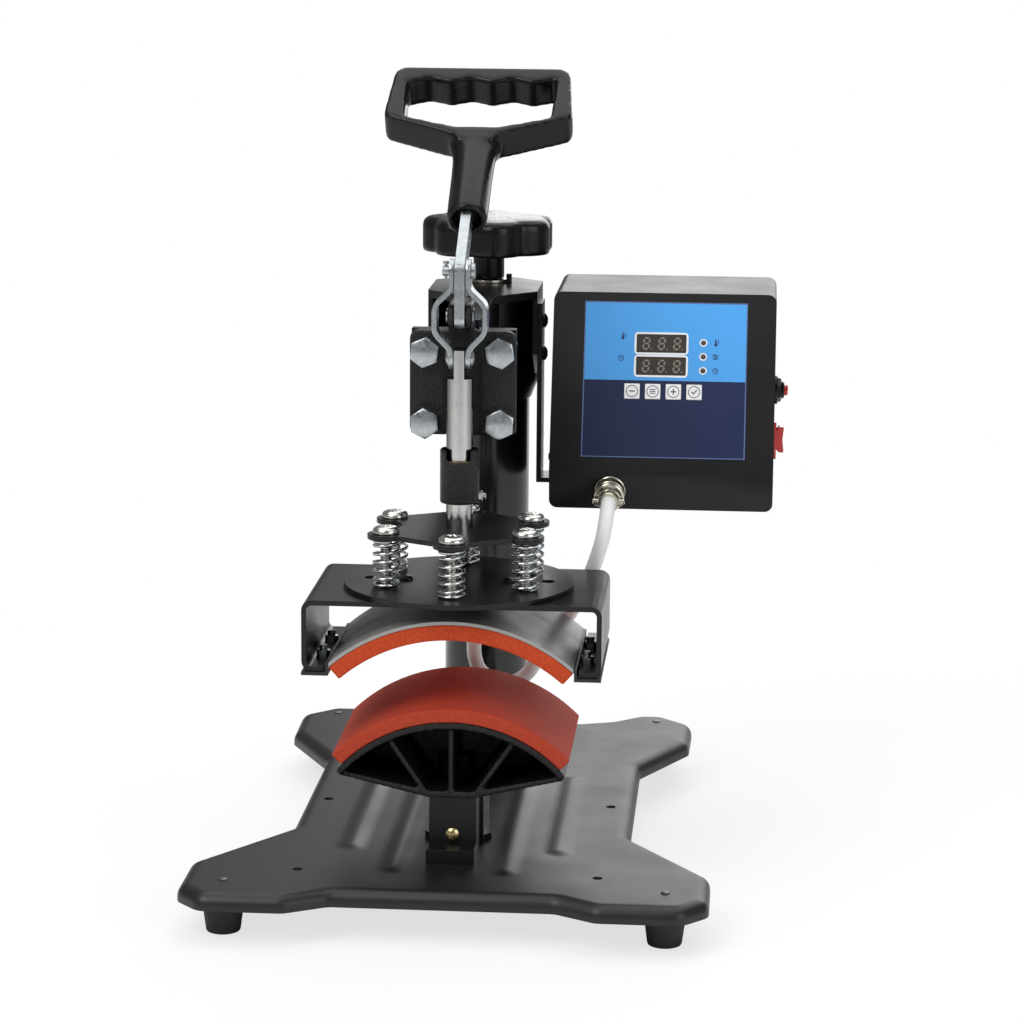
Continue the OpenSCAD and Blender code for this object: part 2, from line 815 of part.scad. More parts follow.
module controller_case() {
    color("#121214")
    difference() {
        case_solid(0, 5);
        difference() {
            case_solid(case_sheet, 4);
            translate([0, case_rear - 0.01, 0])
                block(0, 300, 0, 10, 0, 400);
        }
        block(case_x + case_sheet, case_far - case_sheet, case_rear - 3, case_rear + 1,
            case_z + case_sheet, case_top - case_sheet);
        on_panel() {
            for (s = display_s)
                panel_block(display_x, s, display_w, display_h, -1, 4);
            for (x = key_x)
                panel_block(x, key_s, key_w + 0.2, key_w + 0.2, -1, 4);
            for (s = led_s)
                rod_y(1.7, -1, 4, led_x, s);
        }
        on_lower_face()
            translate([0, 0, -5])
                cylinder(r = 7.1, h = 8);
        rod_x(6.1, case_far - 3, case_far + 1, side_y, breaker_z);
        block(case_far - 3, case_far + 1, side_y - rocker_w / 2, side_y + rocker_w / 2,
            rocker_z - rocker_l / 2, rocker_z + rocker_l / 2);
        rod_x(2, case_x - 1, case_x + case_sheet + 1, strap_screw_y, strap_foot_z + 15);
    }
}

module case_back() {
    color("#17171a")
    difference() {
        block(case_x + case_sheet + 0.1, case_far - case_sheet - 0.1, case_rear - 2, case_rear,
            case_z + case_sheet + 0.1, case_top - case_sheet - 0.1);
        rod_y(8, case_rear - 3, case_rear + 1, case_far - 30, case_z + 24);
        for (i = [0 : 5])
            block(case_x + 30 + i * 8, case_x + 33 + i * 8, case_rear - 3, case_rear + 1,
                case_top - 60, case_top - 30);
    }
}

module panel_overlay() {
    color("#3a8fd8")
    on_panel()
        difference() {
            panel_block(panel_x, panel_s0 + panel_h / 2, panel_w, panel_h, -panel_t, 0);
            for (s = display_s)
                panel_block(display_x, s, display_w, display_h, -1, 1);
            for (x = key_x)
                panel_block(x, key_s, key_w + 0.2, key_w + 0.2, -1, 1);
            for (s = led_s)
                rod_y(1.7, -1, 1, led_x, s);
        }
}

module display_module(s) {
    color("#4a4441")
    on_panel()
        panel_block(display_x, s, display_w - 0.2, display_h - 0.2, -0.2, board_front);
}

board_front = 9;

module display_temp() display_module(display_s[0]);
module display_time() display_module(display_s[1]);

module indicator_leds() {
    color("#202020")
    on_panel()
        for (s = led_s)
            rod_y(1.5, -0.2, board_front, led_x, s);
}

module circuit_board() {
    color("#1f6b3a")
    on_panel()
        union() {
            block(case_x + 12, case_far - 10, board_front, board_front + 1.6, 22, 98);
            for (x = [case_x + 20, case_far - 18], s = [28, 92])
                rod_y(2.5, case_sheet, board_front + 0.5, x, s);
        }
}

module transformer() {
    color("#6d5a3a")
    union() {
        block(case_x + 20, case_x + 62, 66, 96, case_z + case_sheet, case_z + case_sheet + 34);
        block(case_x + 26, case_x + 56, 58, 104, case_z + case_sheet + 6, case_z + case_sheet + 28);
    }
}

module relay() {
    color("#2a4d8f")
    block(case_x + 80, case_x + 108, 60, 92, case_z + case_sheet, case_z + case_sheet + 22);
}

module cable_socket() {
    color("#c2bfb2")
    on_lower_face()
        difference() {
            union() {
                cylinder(r = 9.5, h = 2);
                translate([0, 0, -case_sheet - 10])
                    cylinder(r = 7, h = case_sheet + 18);
                translate([0, 0, -case_sheet - 4])
                    hex_head(17, 2.3);
            }
            translate([0, 0, 3])
                cylinder(r = 5.6, h = 8);
        }
}

module cable_plug() {
    color("#c9c6ba")
    on_lower_face()
        difference() {
            union() {
                translate([0, 0, 2.1])
                    cylinder(r = 9.2, h = 11);
                translate([0, 0, 13])
                    cylinder(r1 = 8, r2 = 7.2, h = 4);
                translate([0, 0, 17])
                    cylinder(r = 6.6, h = 6);
            }
            difference() {
                translate([0, 0, 1])
                    cylinder(r = 7.1, h = 8);
                translate([0, 0, 3.2])
                    cylinder(r = 5.4, h = 20);
            }
        }
}

module breaker_body() {
    color("#141416")
    union() {
        rod_x(breaker_r, case_far, case_far + 2, side_y, breaker_z);
        difference() {
            rod_x(5, case_far, case_far + 6, side_y, breaker_z);
            rod_x(3.8, case_far + 4, case_far + 7, side_y, breaker_z);
        }
        rod_x(6, case_far - 18, case_far + 1, side_y, breaker_z);
    }
}

module breaker_button() {
    color("#c4161c")
    rod_x(3.4, case_far + 6, case_far + 8.4, side_y, breaker_z);
}

rocker_wall = 1.2;

module rocker_frame() {
    color("#a5141a")
    difference() {
        union() {
            block(case_far, case_far + 1.6, side_y - rocker_w / 2 - 1.6, side_y + rocker_w / 2 + 1.6,
                rocker_z - rocker_l / 2 - 1.6, rocker_z + rocker_l / 2 + 1.6);
            block(case_far - 16, case_far + 0.5, side_y - rocker_w / 2 + 0.05, side_y + rocker_w / 2 - 0.05,
                rocker_z - rocker_l / 2 + 0.05, rocker_z + rocker_l / 2 - 0.05);
        }
        block(case_far - 8, case_far + 2, side_y - rocker_w / 2 + rocker_wall, side_y + rocker_w / 2 - rocker_wall,
            rocker_z - rocker_l / 2 + rocker_wall, rocker_z + rocker_l / 2 - rocker_wall);
        rod_y(1.1, side_y - rocker_w / 2 - 2, side_y + rocker_w / 2 + 2, case_far - 2, rocker_z);
    }
}

// Rocker: a wedge-topped key on a cross pin
module power_rocker() {
    half_w = rocker_w / 2 - rocker_wall - 0.3;
    half_l = rocker_l / 2 - rocker_wall - 0.9;
    color("#d4181e")
    union() {
        translate([case_far - 2, side_y - half_w, rocker_z])
            rotate([-90, 0, 0])
                linear_extrude(2 * half_w)
                    polygon([[-2.2, -2.2], [-2.2, 2.2], [4.4, half_l], [6.4, half_l], [4.2, 0], [6.4, -half_l],
                        [4.4, -half_l]]);
        rod_y(1, side_y - rocker_w / 2 + 0.3, side_y + rocker_w / 2 - 0.3, case_far - 2, rocker_z);
    }
}

module mains_inlet() {
    color("#141416")
    difference() {
        union() {
            rod_y(10, case_rear, case_rear + 4, case_far - 30, case_z + 24);
            rod_y(7.9, case_rear - 8, case_rear + 12, case_far - 30, case_z + 24);
        }
        rod_y(4, case_rear - 9, case_rear + 13, case_far - 30, case_z + 24);
    }
}

module key_cap(i) {
    color("#f2f2f2")
    on_panel()
        union() {
            panel_block(key_x[i], key_s, key_w, key_w, -panel_t - key_travel, 2);
            panel_block(key_x[i], key_s, 3, 3, 1.5, board_front - key_travel - 0.1);
        }
}
module key_minus() key_cap(0);
module key_mode() key_cap(1);
module key_plus() key_cap(2);
module key_ok() key_cap(3);

// Pressure knob
knob_z = head_top + 19.5;
knob_h = 23.5;
function lobe_r(a) = (knob_tip_r + knob_valley_r) / 2
    + (knob_tip_r - knob_valley_r) / 2 * cos(knob_lobes * (a - 180));

module star_knob() {
    crown_r = (knob_tip_r * knob_tip_r + 144) / 24;
    color("#0f0f11")
    translate([0, column_y, 0])
        difference() {
            union() {
                intersection() {
                    translate([0, 0, knob_z])
                        linear_extrude(knob_h)
                            polygon([for (i = [0 : 139]) let (a = 360 * i / 140) lobe_r(a) * [cos(a), sin(a)]]);
                    translate([0, 0, knob_z + knob_h - crown_r])
                        sphere(r = crown_r);
                }
                translate([0, 0, head_top + 2.3])
                    cylinder(r = 10, h = knob_z - head_top - 2);
            }
            translate([0, 0, head_top])
                cylinder(r = screw_d / 2 + seat, h = 30);
        }
}

module lead_screw() {
    color("#9da1a6")
    translate([0, column_y, column_top - 35])
        cylinder(r = screw_d / 2, h = head_top + 29 - column_top + 35);
}

module knob_washer() {
    color("#c9cbce")
    translate([0, column_y, head_top + 0.05])
        difference() {
            cylinder(r = 13, h = 2.2);
            translate([0, 0, -1])
                cylinder(r = screw_d / 2 + seat, h = 4);
        }
}

// Lever, in its own frame: z runs from the upper link pin towards the handle
module lever_frame() {
    translate([0, axis_y, link_top_z])
        rotate([-handle_lean, 0, 0])
            children();
}

bar_in_grip = handle_len - 88.5;
stem_low = 45;

// Side outline of the bar: an eye on the fixed pivot, a bend at the link pin, a tang for the handle
lean_dir = [sin(handle_lean), cos(handle_lean)];
lean_side = [-cos(handle_lean), sin(handle_lean)] * bar_half;
bend_cut = bar_half * tan(handle_lean / 2);
bar_outline = [
    [-bar_half, pivot_z - bar_half], [bar_half, pivot_z - bar_half], [bar_half, link_top_z - bend_cut],
    [0, link_top_z] + lean_dir * bar_in_grip - lean_side,
    [0, link_top_z] + lean_dir * bar_in_grip + lean_side,
    [-bar_half, link_top_z + bend_cut]
];

module lever_bar() {
    color("#aeb4bc")
    difference() {
        translate([-bar_t / 2, axis_y, 0])
            rotate([90, 0, 90])
                linear_extrude(bar_t)
                    polygon(rounded(bar_outline, bar_half, 8));
        rod_x(pin_d / 2 + run_fit, -bar_t, bar_t, axis_y, pivot_z);
        rod_x(pin_d / 2 + seat, -bar_t, bar_t, axis_y, link_top_z);
    }
}

neck_s = handle_len - 71.5;
grip_half = [
    [12.3, neck_s], [13.5, neck_s + 5], [handle_w / 2, handle_len - 49], [handle_w / 2 + 0.2, handle_len - 42],
    [handle_w / 2 - 3, handle_len]
];
// Edge of the opening: a shallow V below and four finger waves above
wave_s = handle_len - 10.5;
wave_span = handle_w - 23;
grip_opening = concat(
    [[-handle_w / 2 + 13, handle_len - 49], [-14, handle_len - 58.5], [14, handle_len - 58.5],
        [handle_w / 2 - 13, handle_len - 49]],
    [for (i = [0 : 40])
        let (x = wave_span / 2 - wave_span * i / 40, turn = 360 * 3.6 * i / 40 + 70)
            [x, wave_s - 1.8 + 1.8 * sin(turn)]]
);

module handle_grip() {
    color("#111113")
    lever_frame()
        difference() {
            union() {
                translate([0, handle_t / 2, 0])
                    rotate([90, 0, 0])
                        linear_extrude(handle_t)
                            difference() {
                                polygon(rounded(both_halves(grip_half), 6));
                                polygon(grip_opening);
                            }
                translate([0, 0, stem_low])
                    cylinder(r1 = 10.3, r2 = 10.5, h = neck_s + 3 - stem_low);
                translate([0, 9.5, 0])
                    rotate([90, 0, 0])
                        linear_extrude(19)
                            polygon([[-10.4, neck_s - 22], [10.4, neck_s - 22], [12.5, neck_s + 1], [-12.5, neck_s + 1]]);
            }
            block(-bar_t / 2 - seat, bar_t / 2 + seat, -bar_half - seat, bar_half + seat, 0, bar_in_grip + 1);
        }
}

// Link strap: close to the lever and the tongue at its ends, bowed out round the ears
module link_strap(s) {
    far = link_bow + link_t;
    near = link_in + link_t;
    z = [for (d = [0, 13.4, 20.8, 34.9, 44.4]) link_top_z - d];
    low = link_low_z - link_w / 2;
    color("#a2aab4")
    difference() {
        intersection() {
            translate([0, axis_y + link_w / 2, 0])
                rotate([90, 0, 0])
                    linear_extrude(link_w)
                        polygon([for (p = [
                            [link_in, link_top_z + link_w], [link_in, z[1]], [link_bow, z[2]], [link_bow, z[3]],
                            [link_in, z[4]], [link_in, low], [near, low], [near, z[4] - 1],
                            [far, z[3] - 1], [far, z[2] + 1], [near, z[1] + 1], [near, link_top_z + link_w]
                        ]) [s * p[0], p[1]]]);
            union() {
                rod_x(link_w / 2, -30, 30, axis_y, link_top_z);
                rod_x(link_w / 2, -30, 30, axis_y, link_low_z);
                block(-30, 30, axis_y - link_w / 2, axis_y + link_w / 2, link_low_z, link_top_z);
            }
        }
        rod_x(pin_d / 2 + run_fit, -30, 30, axis_y, link_top_z);
        rod_x(pin_d / 2 + run_fit, -30, 30, axis_y, link_low_z);
    }
}
module link_left() link_strap(-1);
module link_right() link_strap(1);

pin_reach = link_in + link_t + 0.2;

module link_pin() {
    color("#b4b8bd")
    difference() {
        union() {
            rod_x(pin_d / 2, -pin_reach - 4, pin_reach + 1, axis_y, link_top_z);
            rod_x(4.6, pin_reach, pin_reach + 2, axis_y, link_top_z);
        }
        translate([-pin_reach - 2, axis_y, link_top_z - 5])
            cylinder(r = 1, h = 10);
    }
}

module split_pin() {
    color("#c0c2c4")
    translate([-pin_reach - 2, axis_y, link_top_z - 4.5])
        union() {
            cylinder(r = 0.9, h = 9);
            translate([0, 0, 8.5])
                cylinder(r = 1.7, h = 1.8);
        }
}

// Plunger
shoulder_z = link_low_z - link_w / 2 - 5;

module plunger_rod() {
    color("#c8ccd0")
    difference() {
        union() {
            translate([0, axis_y, spider_z + spider_t])
                cylinder(r = rod_r, h = shoulder_z - spider_z - spider_t);
            intersection() {
                block(-bar_t / 2, bar_t / 2, axis_y - 8, axis_y + 8, shoulder_z - 1, tongue_top);
                translate([0, axis_y, shoulder_z - 2])
                    cylinder(r = rod_r, h = 40);
            }
        }
        rod_x(pin_d / 2 + seat, -rod_d, rod_d, axis_y, link_low_z);
    }
}

module tongue_pin() {
    color("#b4b8bd")
    rod_x(pin_d / 2, -link_in + 0.1, link_in - 0.1, axis_y, link_low_z);
}

spring_angles = [for (i = [0 : 5]) 90 + 60 * i];
lobe_pad_r = 11;

module on_springs() {
    for (a = spring_angles)
        translate([spring_circle_r * cos(a), axis_y + spring_circle_r * sin(a), 0])
            children();
}

// Spider: lobes joined by concave flanks, notched deeply between the side lobes
module spider_plate() {
    color("#141416")
    translate([0, 0, spider_z])
        difference() {
            union() {
                on_springs()
                    cylinder(r = lobe_pad_r, h = spider_t);
                translate([0, axis_y, 0])
                    linear_extrude(spider_t)
                        difference() {
                            polygon([for (a = spring_angles) (spring_circle_r + 4) * [cos(a), sin(a)]]);
                            for (s = mirror_pair)
                                translate([s * (spring_circle_r + 7), 0])
                                    circle(r = 20);
                        }
            }
            on_springs()
                translate([0, 0, -1])
                    cylinder(r = spring_screw_d / 2 + hole_gap, h = spider_t + 2);
        }
}

// Sprung platen
module pressure_disc() {
    color("#1a1a1c")
    difference() {
        translate([0, axis_y, bracket_top])
            cylinder(r = disc_r, h = disc_t, $fn = 128);
        on_springs()
            translate([0, 0, bracket_top - 1])
                cylinder(r = spring_screw_d / 2 - 1 + seat, h = disc_t + 2);
        for (s = mirror_pair)
            translate([s * (spring_circle_r + 5.5), axis_y + 1.8, bracket_top - 1])
                cylinder(r = 4, h = disc_t + 2);
    }
}

bracket_front = 147.2;
bracket_rear = 45.4;
lip_in = bracket_half - 12.9;
shell_lip_in = bracket_half - 15.4;

module u_bracket() {
    bend = 6;
    color("#1b1b1d")
    difference() {
        translate([0, -bracket_rear, 0])
            rotate([90, 0, 0])
                linear_extrude(bracket_front - bracket_rear)
                    difference() {
                        polygon(rounded([
                            [-bracket_half, foot_z], [bracket_half, foot_z],
                            [bracket_half, bracket_top], [-bracket_half, bracket_top]
                        ], bend, 6));
                        translate([0, -disc_t])
                            polygon(rounded([
                                [-bracket_half + disc_t, foot_z + 2 * disc_t],
                                [bracket_half - disc_t, foot_z + 2 * disc_t],
                                [bracket_half - disc_t, bracket_top],
                                [-bracket_half + disc_t, bracket_top]
                            ], bend - disc_t, 4));
                        translate([-lip_in, foot_z - 1])
                            square([2 * lip_in, bracket_top - foot_z - disc_t]);
                    }
        on_springs()
            translate([0, 0, bracket_top - disc_t - 1])
                cylinder(r = spring_screw_d / 2 - 1 + seat, h = disc_t + 2);
        for (p = stud_places)
            translate([p[0], p[1], foot_z - 1])
                cylinder(r = 2.6, h = disc_t + 2);
    }
}

// Screws that hang the platen from the spider through the springs
module spring_screws() {
    color("#b2a98f")
    on_springs()
        union() {
            translate([0, 0, bracket_top - disc_t])
                cylinder(r = spring_screw_d / 2 - 1, h = disc_t * 2 + 0.5);
            translate([0, 0, disc_z])
                cylinder(r = spring_screw_d / 2, h = spider_z + spider_t - disc_z + 0.2);
            translate([0, 0, spider_z + spider_t])
                pan_head(15.8, 7);
        }
}

stud_x = bracket_half - 9.6;
stud_places = [for (s = mirror_pair, y = [axis_y + 12, axis_y - 25]) [s * stud_x, y]];

module bracket_studs() {
    color("#8f9296")
    for (p = stud_places)
        translate([p[0], p[1], foot_z - 2])
            union() {
                cylinder(r = 2.5, h = disc_t + 9);
                translate([0, 0, disc_t + 2])
                    rotate([0, 0, 30])
                        hex_head(7, 4);
            }
}

module heater_shell() {
    lip_end = upper_axis_z + (upper_out_r + shell_t) * cos(upper_angle);
    lip_x = (upper_out_r + shell_t) * sin(upper_angle);
    color("#8c9094")
    difference() {
        union() {
            arc_band(upper_out_r + seat, upper_out_r + shell_t, upper_angle, upper_axis_z, -pad_front, -pad_rear);
            for (s = mirror_pair) {
                x0 = s > 0 ? upper_out_r * sin(upper_angle) + 0.2 : -lip_x - 0.6;
                x1 = s > 0 ? lip_x + 0.6 : -upper_out_r * sin(upper_angle) - 0.2;
                block(x0, x1, -pad_front, -pad_rear, foot_z - 2, lip_end + 0.6);
                block(s > 0 ? shell_lip_in : -bracket_half, s > 0 ? bracket_half : -shell_lip_in,
                    -pad_front, -pad_rear, foot_z - 2, foot_z);
            }
        }
        for (p = stud_places)
            translate([p[0], p[1], foot_z - 3])
                cylinder(r = 2.5 + seat, h = 5);
    }
}

element_in = upper_in_r + 4.6;

module heater_element() {
    color("#6e3b2a")
    arc_band(element_in, element_in + 0.8, upper_angle - 4, upper_axis_z, -pad_front + 5, -pad_rear - 5);
}

module upper_pad() {
    color("#cf4a22")
    difference() {
        arc_band(upper_in_r, upper_out_r, upper_angle, upper_axis_z, -pad_front, -pad_rear);
        arc_band(element_in - seat, element_in + 0.8 + seat, upper_angle - 3.9, upper_axis_z,
            -pad_front + 4.9, -pad_rear - 4.9);
    }
}

module heater_cable() {
    color("#eceae6")
    swept_tube(smooth(cable_path, 3), cable_r, 10);
}

// Coil spring whose two ends stand square on the disc and the spider
coil_z0 = disc_z + wire_d;
coil_rise = spider_z - disc_z - 2 * wire_d;
coil_steps = 8 * spring_turns;
function coil_point(i) =
    let (a = 45 * i)
    [coil_r * cos(a), coil_r * sin(a), coil_z0 + coil_rise * i / coil_steps];
coil_path = concat(
    [[coil_r, 0, disc_z]],
    [for (i = [0 : coil_steps]) coil_point(i)],
    [[coil_r, 0, spider_z]]
);
coil_gap = min([for (i = [1 : len(coil_path) - 7]) norm(coil_path[i + 6] - coil_path[i])]) - wire_d;

module springs() {
    echo(spring_gap_to_itself = min(coil_gap, coil_rise / spring_turns - wire_d));
    color("#a9acb0")
    on_springs()
        swept_tube(coil_path, wire_r, 6);
}

base_plate();
feet();
foot_screws();
column_tube();
lead_nut();
support_post();
post_screw();
lower_platen();
platen_bolt();
lower_pad();
head_bracket();
clamp_plate();
clamp_bolts();
guide_bush();
pivot_pin();
oil_nipple();
stop_stud();
controller_strap();
strap_screws();
controller_case();
case_back();
panel_overlay();
display_temp();
display_time();
indicator_leds();
circuit_board();
transformer();
relay();
cable_socket();
cable_plug();
breaker_body();
rocker_frame();
mains_inlet();
key_minus();
key_mode();
key_plus();
key_ok();
breaker_button();
power_rocker();
star_knob();
lead_screw();
knob_washer();
lever_bar();
handle_grip();
link_pin();
link_left();
link_right();
split_pin();
plunger_rod();
tongue_pin();
spider_plate();
pressure_disc();
u_bracket();
spring_screws();
bracket_studs();
heater_shell();
heater_element();
upper_pad();
heater_cable();
springs();
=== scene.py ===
from math import atan2, ceil, copysign, cos, hypot, pi, radians, sin, sqrt, tan

import bmesh
import bpy
from bpy.props import FloatProperty, FloatVectorProperty, PointerProperty
from mathutils import Matrix, Vector, geometry, noise


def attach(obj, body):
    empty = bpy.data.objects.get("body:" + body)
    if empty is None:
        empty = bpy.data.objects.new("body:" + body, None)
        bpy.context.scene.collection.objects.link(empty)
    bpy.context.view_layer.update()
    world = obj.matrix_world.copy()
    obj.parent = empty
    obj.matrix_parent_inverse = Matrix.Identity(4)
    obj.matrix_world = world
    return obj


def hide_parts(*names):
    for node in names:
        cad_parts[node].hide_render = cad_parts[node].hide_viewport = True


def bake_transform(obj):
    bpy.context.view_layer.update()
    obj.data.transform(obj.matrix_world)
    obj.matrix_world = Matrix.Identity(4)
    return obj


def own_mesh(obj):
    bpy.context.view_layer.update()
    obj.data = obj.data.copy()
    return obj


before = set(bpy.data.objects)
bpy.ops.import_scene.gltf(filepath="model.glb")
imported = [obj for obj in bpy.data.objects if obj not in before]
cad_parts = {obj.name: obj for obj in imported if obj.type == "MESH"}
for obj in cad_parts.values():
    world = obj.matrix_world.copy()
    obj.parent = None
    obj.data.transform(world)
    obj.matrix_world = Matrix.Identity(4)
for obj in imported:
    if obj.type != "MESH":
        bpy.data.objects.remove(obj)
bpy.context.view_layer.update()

bl_info = {
    "name": "Cap heat press",
    "version": (1, 0, 0),
    "blender": (4, 5, 0),
    "location": "View3D > Sidebar > Cap press",
    "description": "Dresses a cap heat press: paints, castings, silicone pads, springs, panel and cable",
    "category": "Object",
}

MM = 0.001
WELD = 2e-6

# Places and sizes of the solids, in millimetres
COLUMN_Y = 103.0
AXIS_Y = -96.3
LINK_TOP = 374.4
LINK_LOW = 323.5
LINK_IN = 3.3
LINK_BOW = 13.3
LINK_T = 3.0
LINK_HALF = 7.0
LEVER_LEAN = 57.0
DISC_Z = 190.3
SPIDER_Z = 219.5
SPRING_CIRCLE = 47.2
COIL_R = 7.1
BASE_TOP = 30.4
RIM_DEPTH = 10.0
CREASE_Z = 239.5
CASE_LOW = 215.4
CASE_TUCK = 4.0
PANEL_TILT = atan2(37, 346 - CREASE_Z)
PANEL_LEFT, PANEL_RIGHT, PANEL_LOW, PANEL_HIGH = 66.0, 167.0, 9.0, 107.0
DISPLAY_X = 114.0
DISPLAY_S = (80.8, 66.6)
LAMP_X = 140.0
LAMP_S = (81.7, 72.9, 64.1)
KEYS = {"minus": 96.5, "mode": 109.3, "plus": 122.1, "ok": 134.9}
KEY_S = 50.5
PRINT = 0.09
SOCKET_X = 84.5
CASE_FAR = 184.7
SIDE_Y = 50.0
BREAKER_Z = 284.5
INLET = (154.7, 125.0, 239.4)
CLAMP_FRONT = -80.0
BOLT_X = 22.3
BOLT_Z = (281.9, 324.3)
PAD_FRONT, PAD_REAR = -149.0, -45.0
# Piece, node, finish, body, inner and outer radius, half angle, height of the axis and depth of the crumbs
PADS = (("lower_pad_sponge", "lower_pad", "brick_silicone", "base", 89.75, 98.0, 45.6, 26.8, 0.10),
        ("heated_pad_sponge", "upper_pad", "orange_silicone", "platen", 98.4, 107.9, 41.5, 67.2, 0.07))
FEET = ((-127.7, -189.1), (127.7, -189.1), (-110, 189.1), (110, 189.1))
STUD_X = 77.8
KNOB_R, KNOB_VALLEY_R, KNOB_LOBES = 42.6, 36, 7
THREAD_PITCH = 1.25
ROCKER_Z = CREASE_Z + 14

BASE_HALF = [
    (65, -203.5), (89, -218), (138, -218), (153, -201), (153, -154), (103, -79), (103, 79),
    (133.5, 140), (134.5, 187), (114, 208), (98, 208), (79, 191), (58, 183),
]
BASE_HOLES = [
    (127.7, -189.1, 2.65), (110, 189.1, 2.65), (87.7, -165.1, 3), (88.6, -19.3, 3),
]
RIBS = [(62, -117, 40), (33, -159, 50)]
RIB_H, RIB_SPREAD = 1.5, 8.5

CABLE_ROUTE = [
    (84.5, -13, 225), (84.5, -21.3, 223.6), (84.5, -23.8, 223.1), (84.4, -27.7, 221.4), (84, -32.8, 217.1),
    (83.2, -36.2, 211.2), (81.9, -37.4, 204.2), (79.5, -36.3, 195.5), (75.4, -32.8, 183.5), (69.8, -28.2, 170),
    (62, -23.4, 155), (51.2, -20, 137), (42, -18.5, 124.4), (36.4, -18, 115.6), (29.7, -18, 110),
    (21.5, -18, 108.2), (12.6, -18, 110.4), (5.7, -18, 116.5), (2.6, -18, 125.4), (2.2, -18, 138),
    (2, -18, 151.5), (1.6, -19.2, 158.2), (1, -23.5, 164.8), (0.5, -30.2, 168.9), (0, -37, 170), (0, -45, 170),
]
ROUTE_SPLIT = 15


# Values that a user would change

def measure(name, description, default, low, high):
    return FloatProperty(name=name, description=description, default=default, min=low, max=high, unit="LENGTH")


def tint(name, description, default):
    return FloatVectorProperty(name=name, description=description, default=default, min=0, max=1, subtype="COLOR")


class PressSizes(bpy.types.PropertyGroup):
    """Sizes of the soft, wound and moulded pieces."""

    cable: measure("Cable diameter", "Outer diameter of the heater cable", 0.009, 0.006, 0.0095)
    wire: measure("Spring wire", "Diameter of the spring wire", 0.00195, 0.001, 0.002)
    turns: FloatProperty(name="Spring turns", description="Turns of a spring, its two closed ends included",
                         default=6.75, min=4, max=8)
    rim: measure("Rim radius", "Radius of the base plate's rolled rim", 0.0075, 0.002, 0.0095)
    pad_edge: measure("Pad edge", "Rounding of the silicone pads' edges", 0.0013, 0.0005, 0.003)
    mould: measure("Moulding grain", "Cell size that castings and mouldings are rounded with", 0.0011, 0.0008, 0.003)


class PressColours(bpy.types.PropertyGroup):
    """Colours of the finishes."""

    paint: tint("Paint", "Satin black powder coat", (0.0075, 0.0075, 0.0085))
    plastic: tint("Plastic", "Moulded black plastic", (0.006, 0.006, 0.0066))
    zinc: tint("Zinc", "Bright zinc plating", (0.44, 0.47, 0.49))
    nickel: tint("Nickel", "Warm nickel plating", (0.62, 0.58, 0.48))
    sheet: tint("Shell", "Dull grey rolled sheet", (0.36, 0.36, 0.35))
    lower_pad: tint("Lower pad", "Brick-red silicone of the lower pad", (0.46, 0.052, 0.022))
    upper_pad: tint("Upper pad", "Orange-red silicone of the heated pad", (0.56, 0.062, 0.014))
    cable: tint("Cable", "White silicone sheath", (0.9, 0.89, 0.86))
    sky: tint("Panel, upper part", "Light blue of the panel film", (0.075, 0.34, 0.76))
    navy: tint("Panel, lower part", "Dark blue of the panel film", (0.011, 0.016, 0.055))
    switch: tint("Switch red", "Red of the rocker and the reset button", (0.55, 0.014, 0.010))


# Shader building

class Nodes:
    """Fills a node tree. Sockets take plain values or other nodes' outputs."""

    def __init__(self, owner):
        owner.use_nodes = True
        self.tree = owner.node_tree
        self.tree.nodes.clear()

    def add(self, kind, sockets=None, **settings):
        made = self.tree.nodes.new(kind)
        for key, value in settings.items():
            setattr(made, key, value)
        for key, value in (sockets or {}).items():
            self.join(made.inputs[key], value)
        return made

    def join(self, socket, value):
        if isinstance(value, bpy.types.NodeSocket):
            self.tree.links.new(value, socket)
        else:
            socket.default_value = value

    def math(self, operation, *values):
        return self.add("ShaderNodeMath", dict(enumerate(values)), operation=operation).outputs[0]

    def axis(self, vector, number):
        return self.add("ShaderNodeSeparateXYZ", {0: vector}).outputs[number]

    def between(self, value, low, high, to_low=0.0, to_high=1.0):
        return self.add("ShaderNodeMapRange", {"Value": value, "From Min": low, "From Max": high,
                                               "To Min": to_low, "To Max": to_high}).outputs[0]

    def blend(self, share, *colours):
        made = self.add("ShaderNodeMix", {0: share}, data_type="RGBA")
        for number, colour in zip((6, 7), colours):
            self.join(made.inputs[number], colour if isinstance(colour, bpy.types.NodeSocket) else (*colour, 1))
        return made.outputs[2]

    def seen_directly(self):
        """1 for what the camera sees directly, and 0 for light and reflections."""
        return self.add("ShaderNodeLightPath").outputs["Is Camera Ray"]


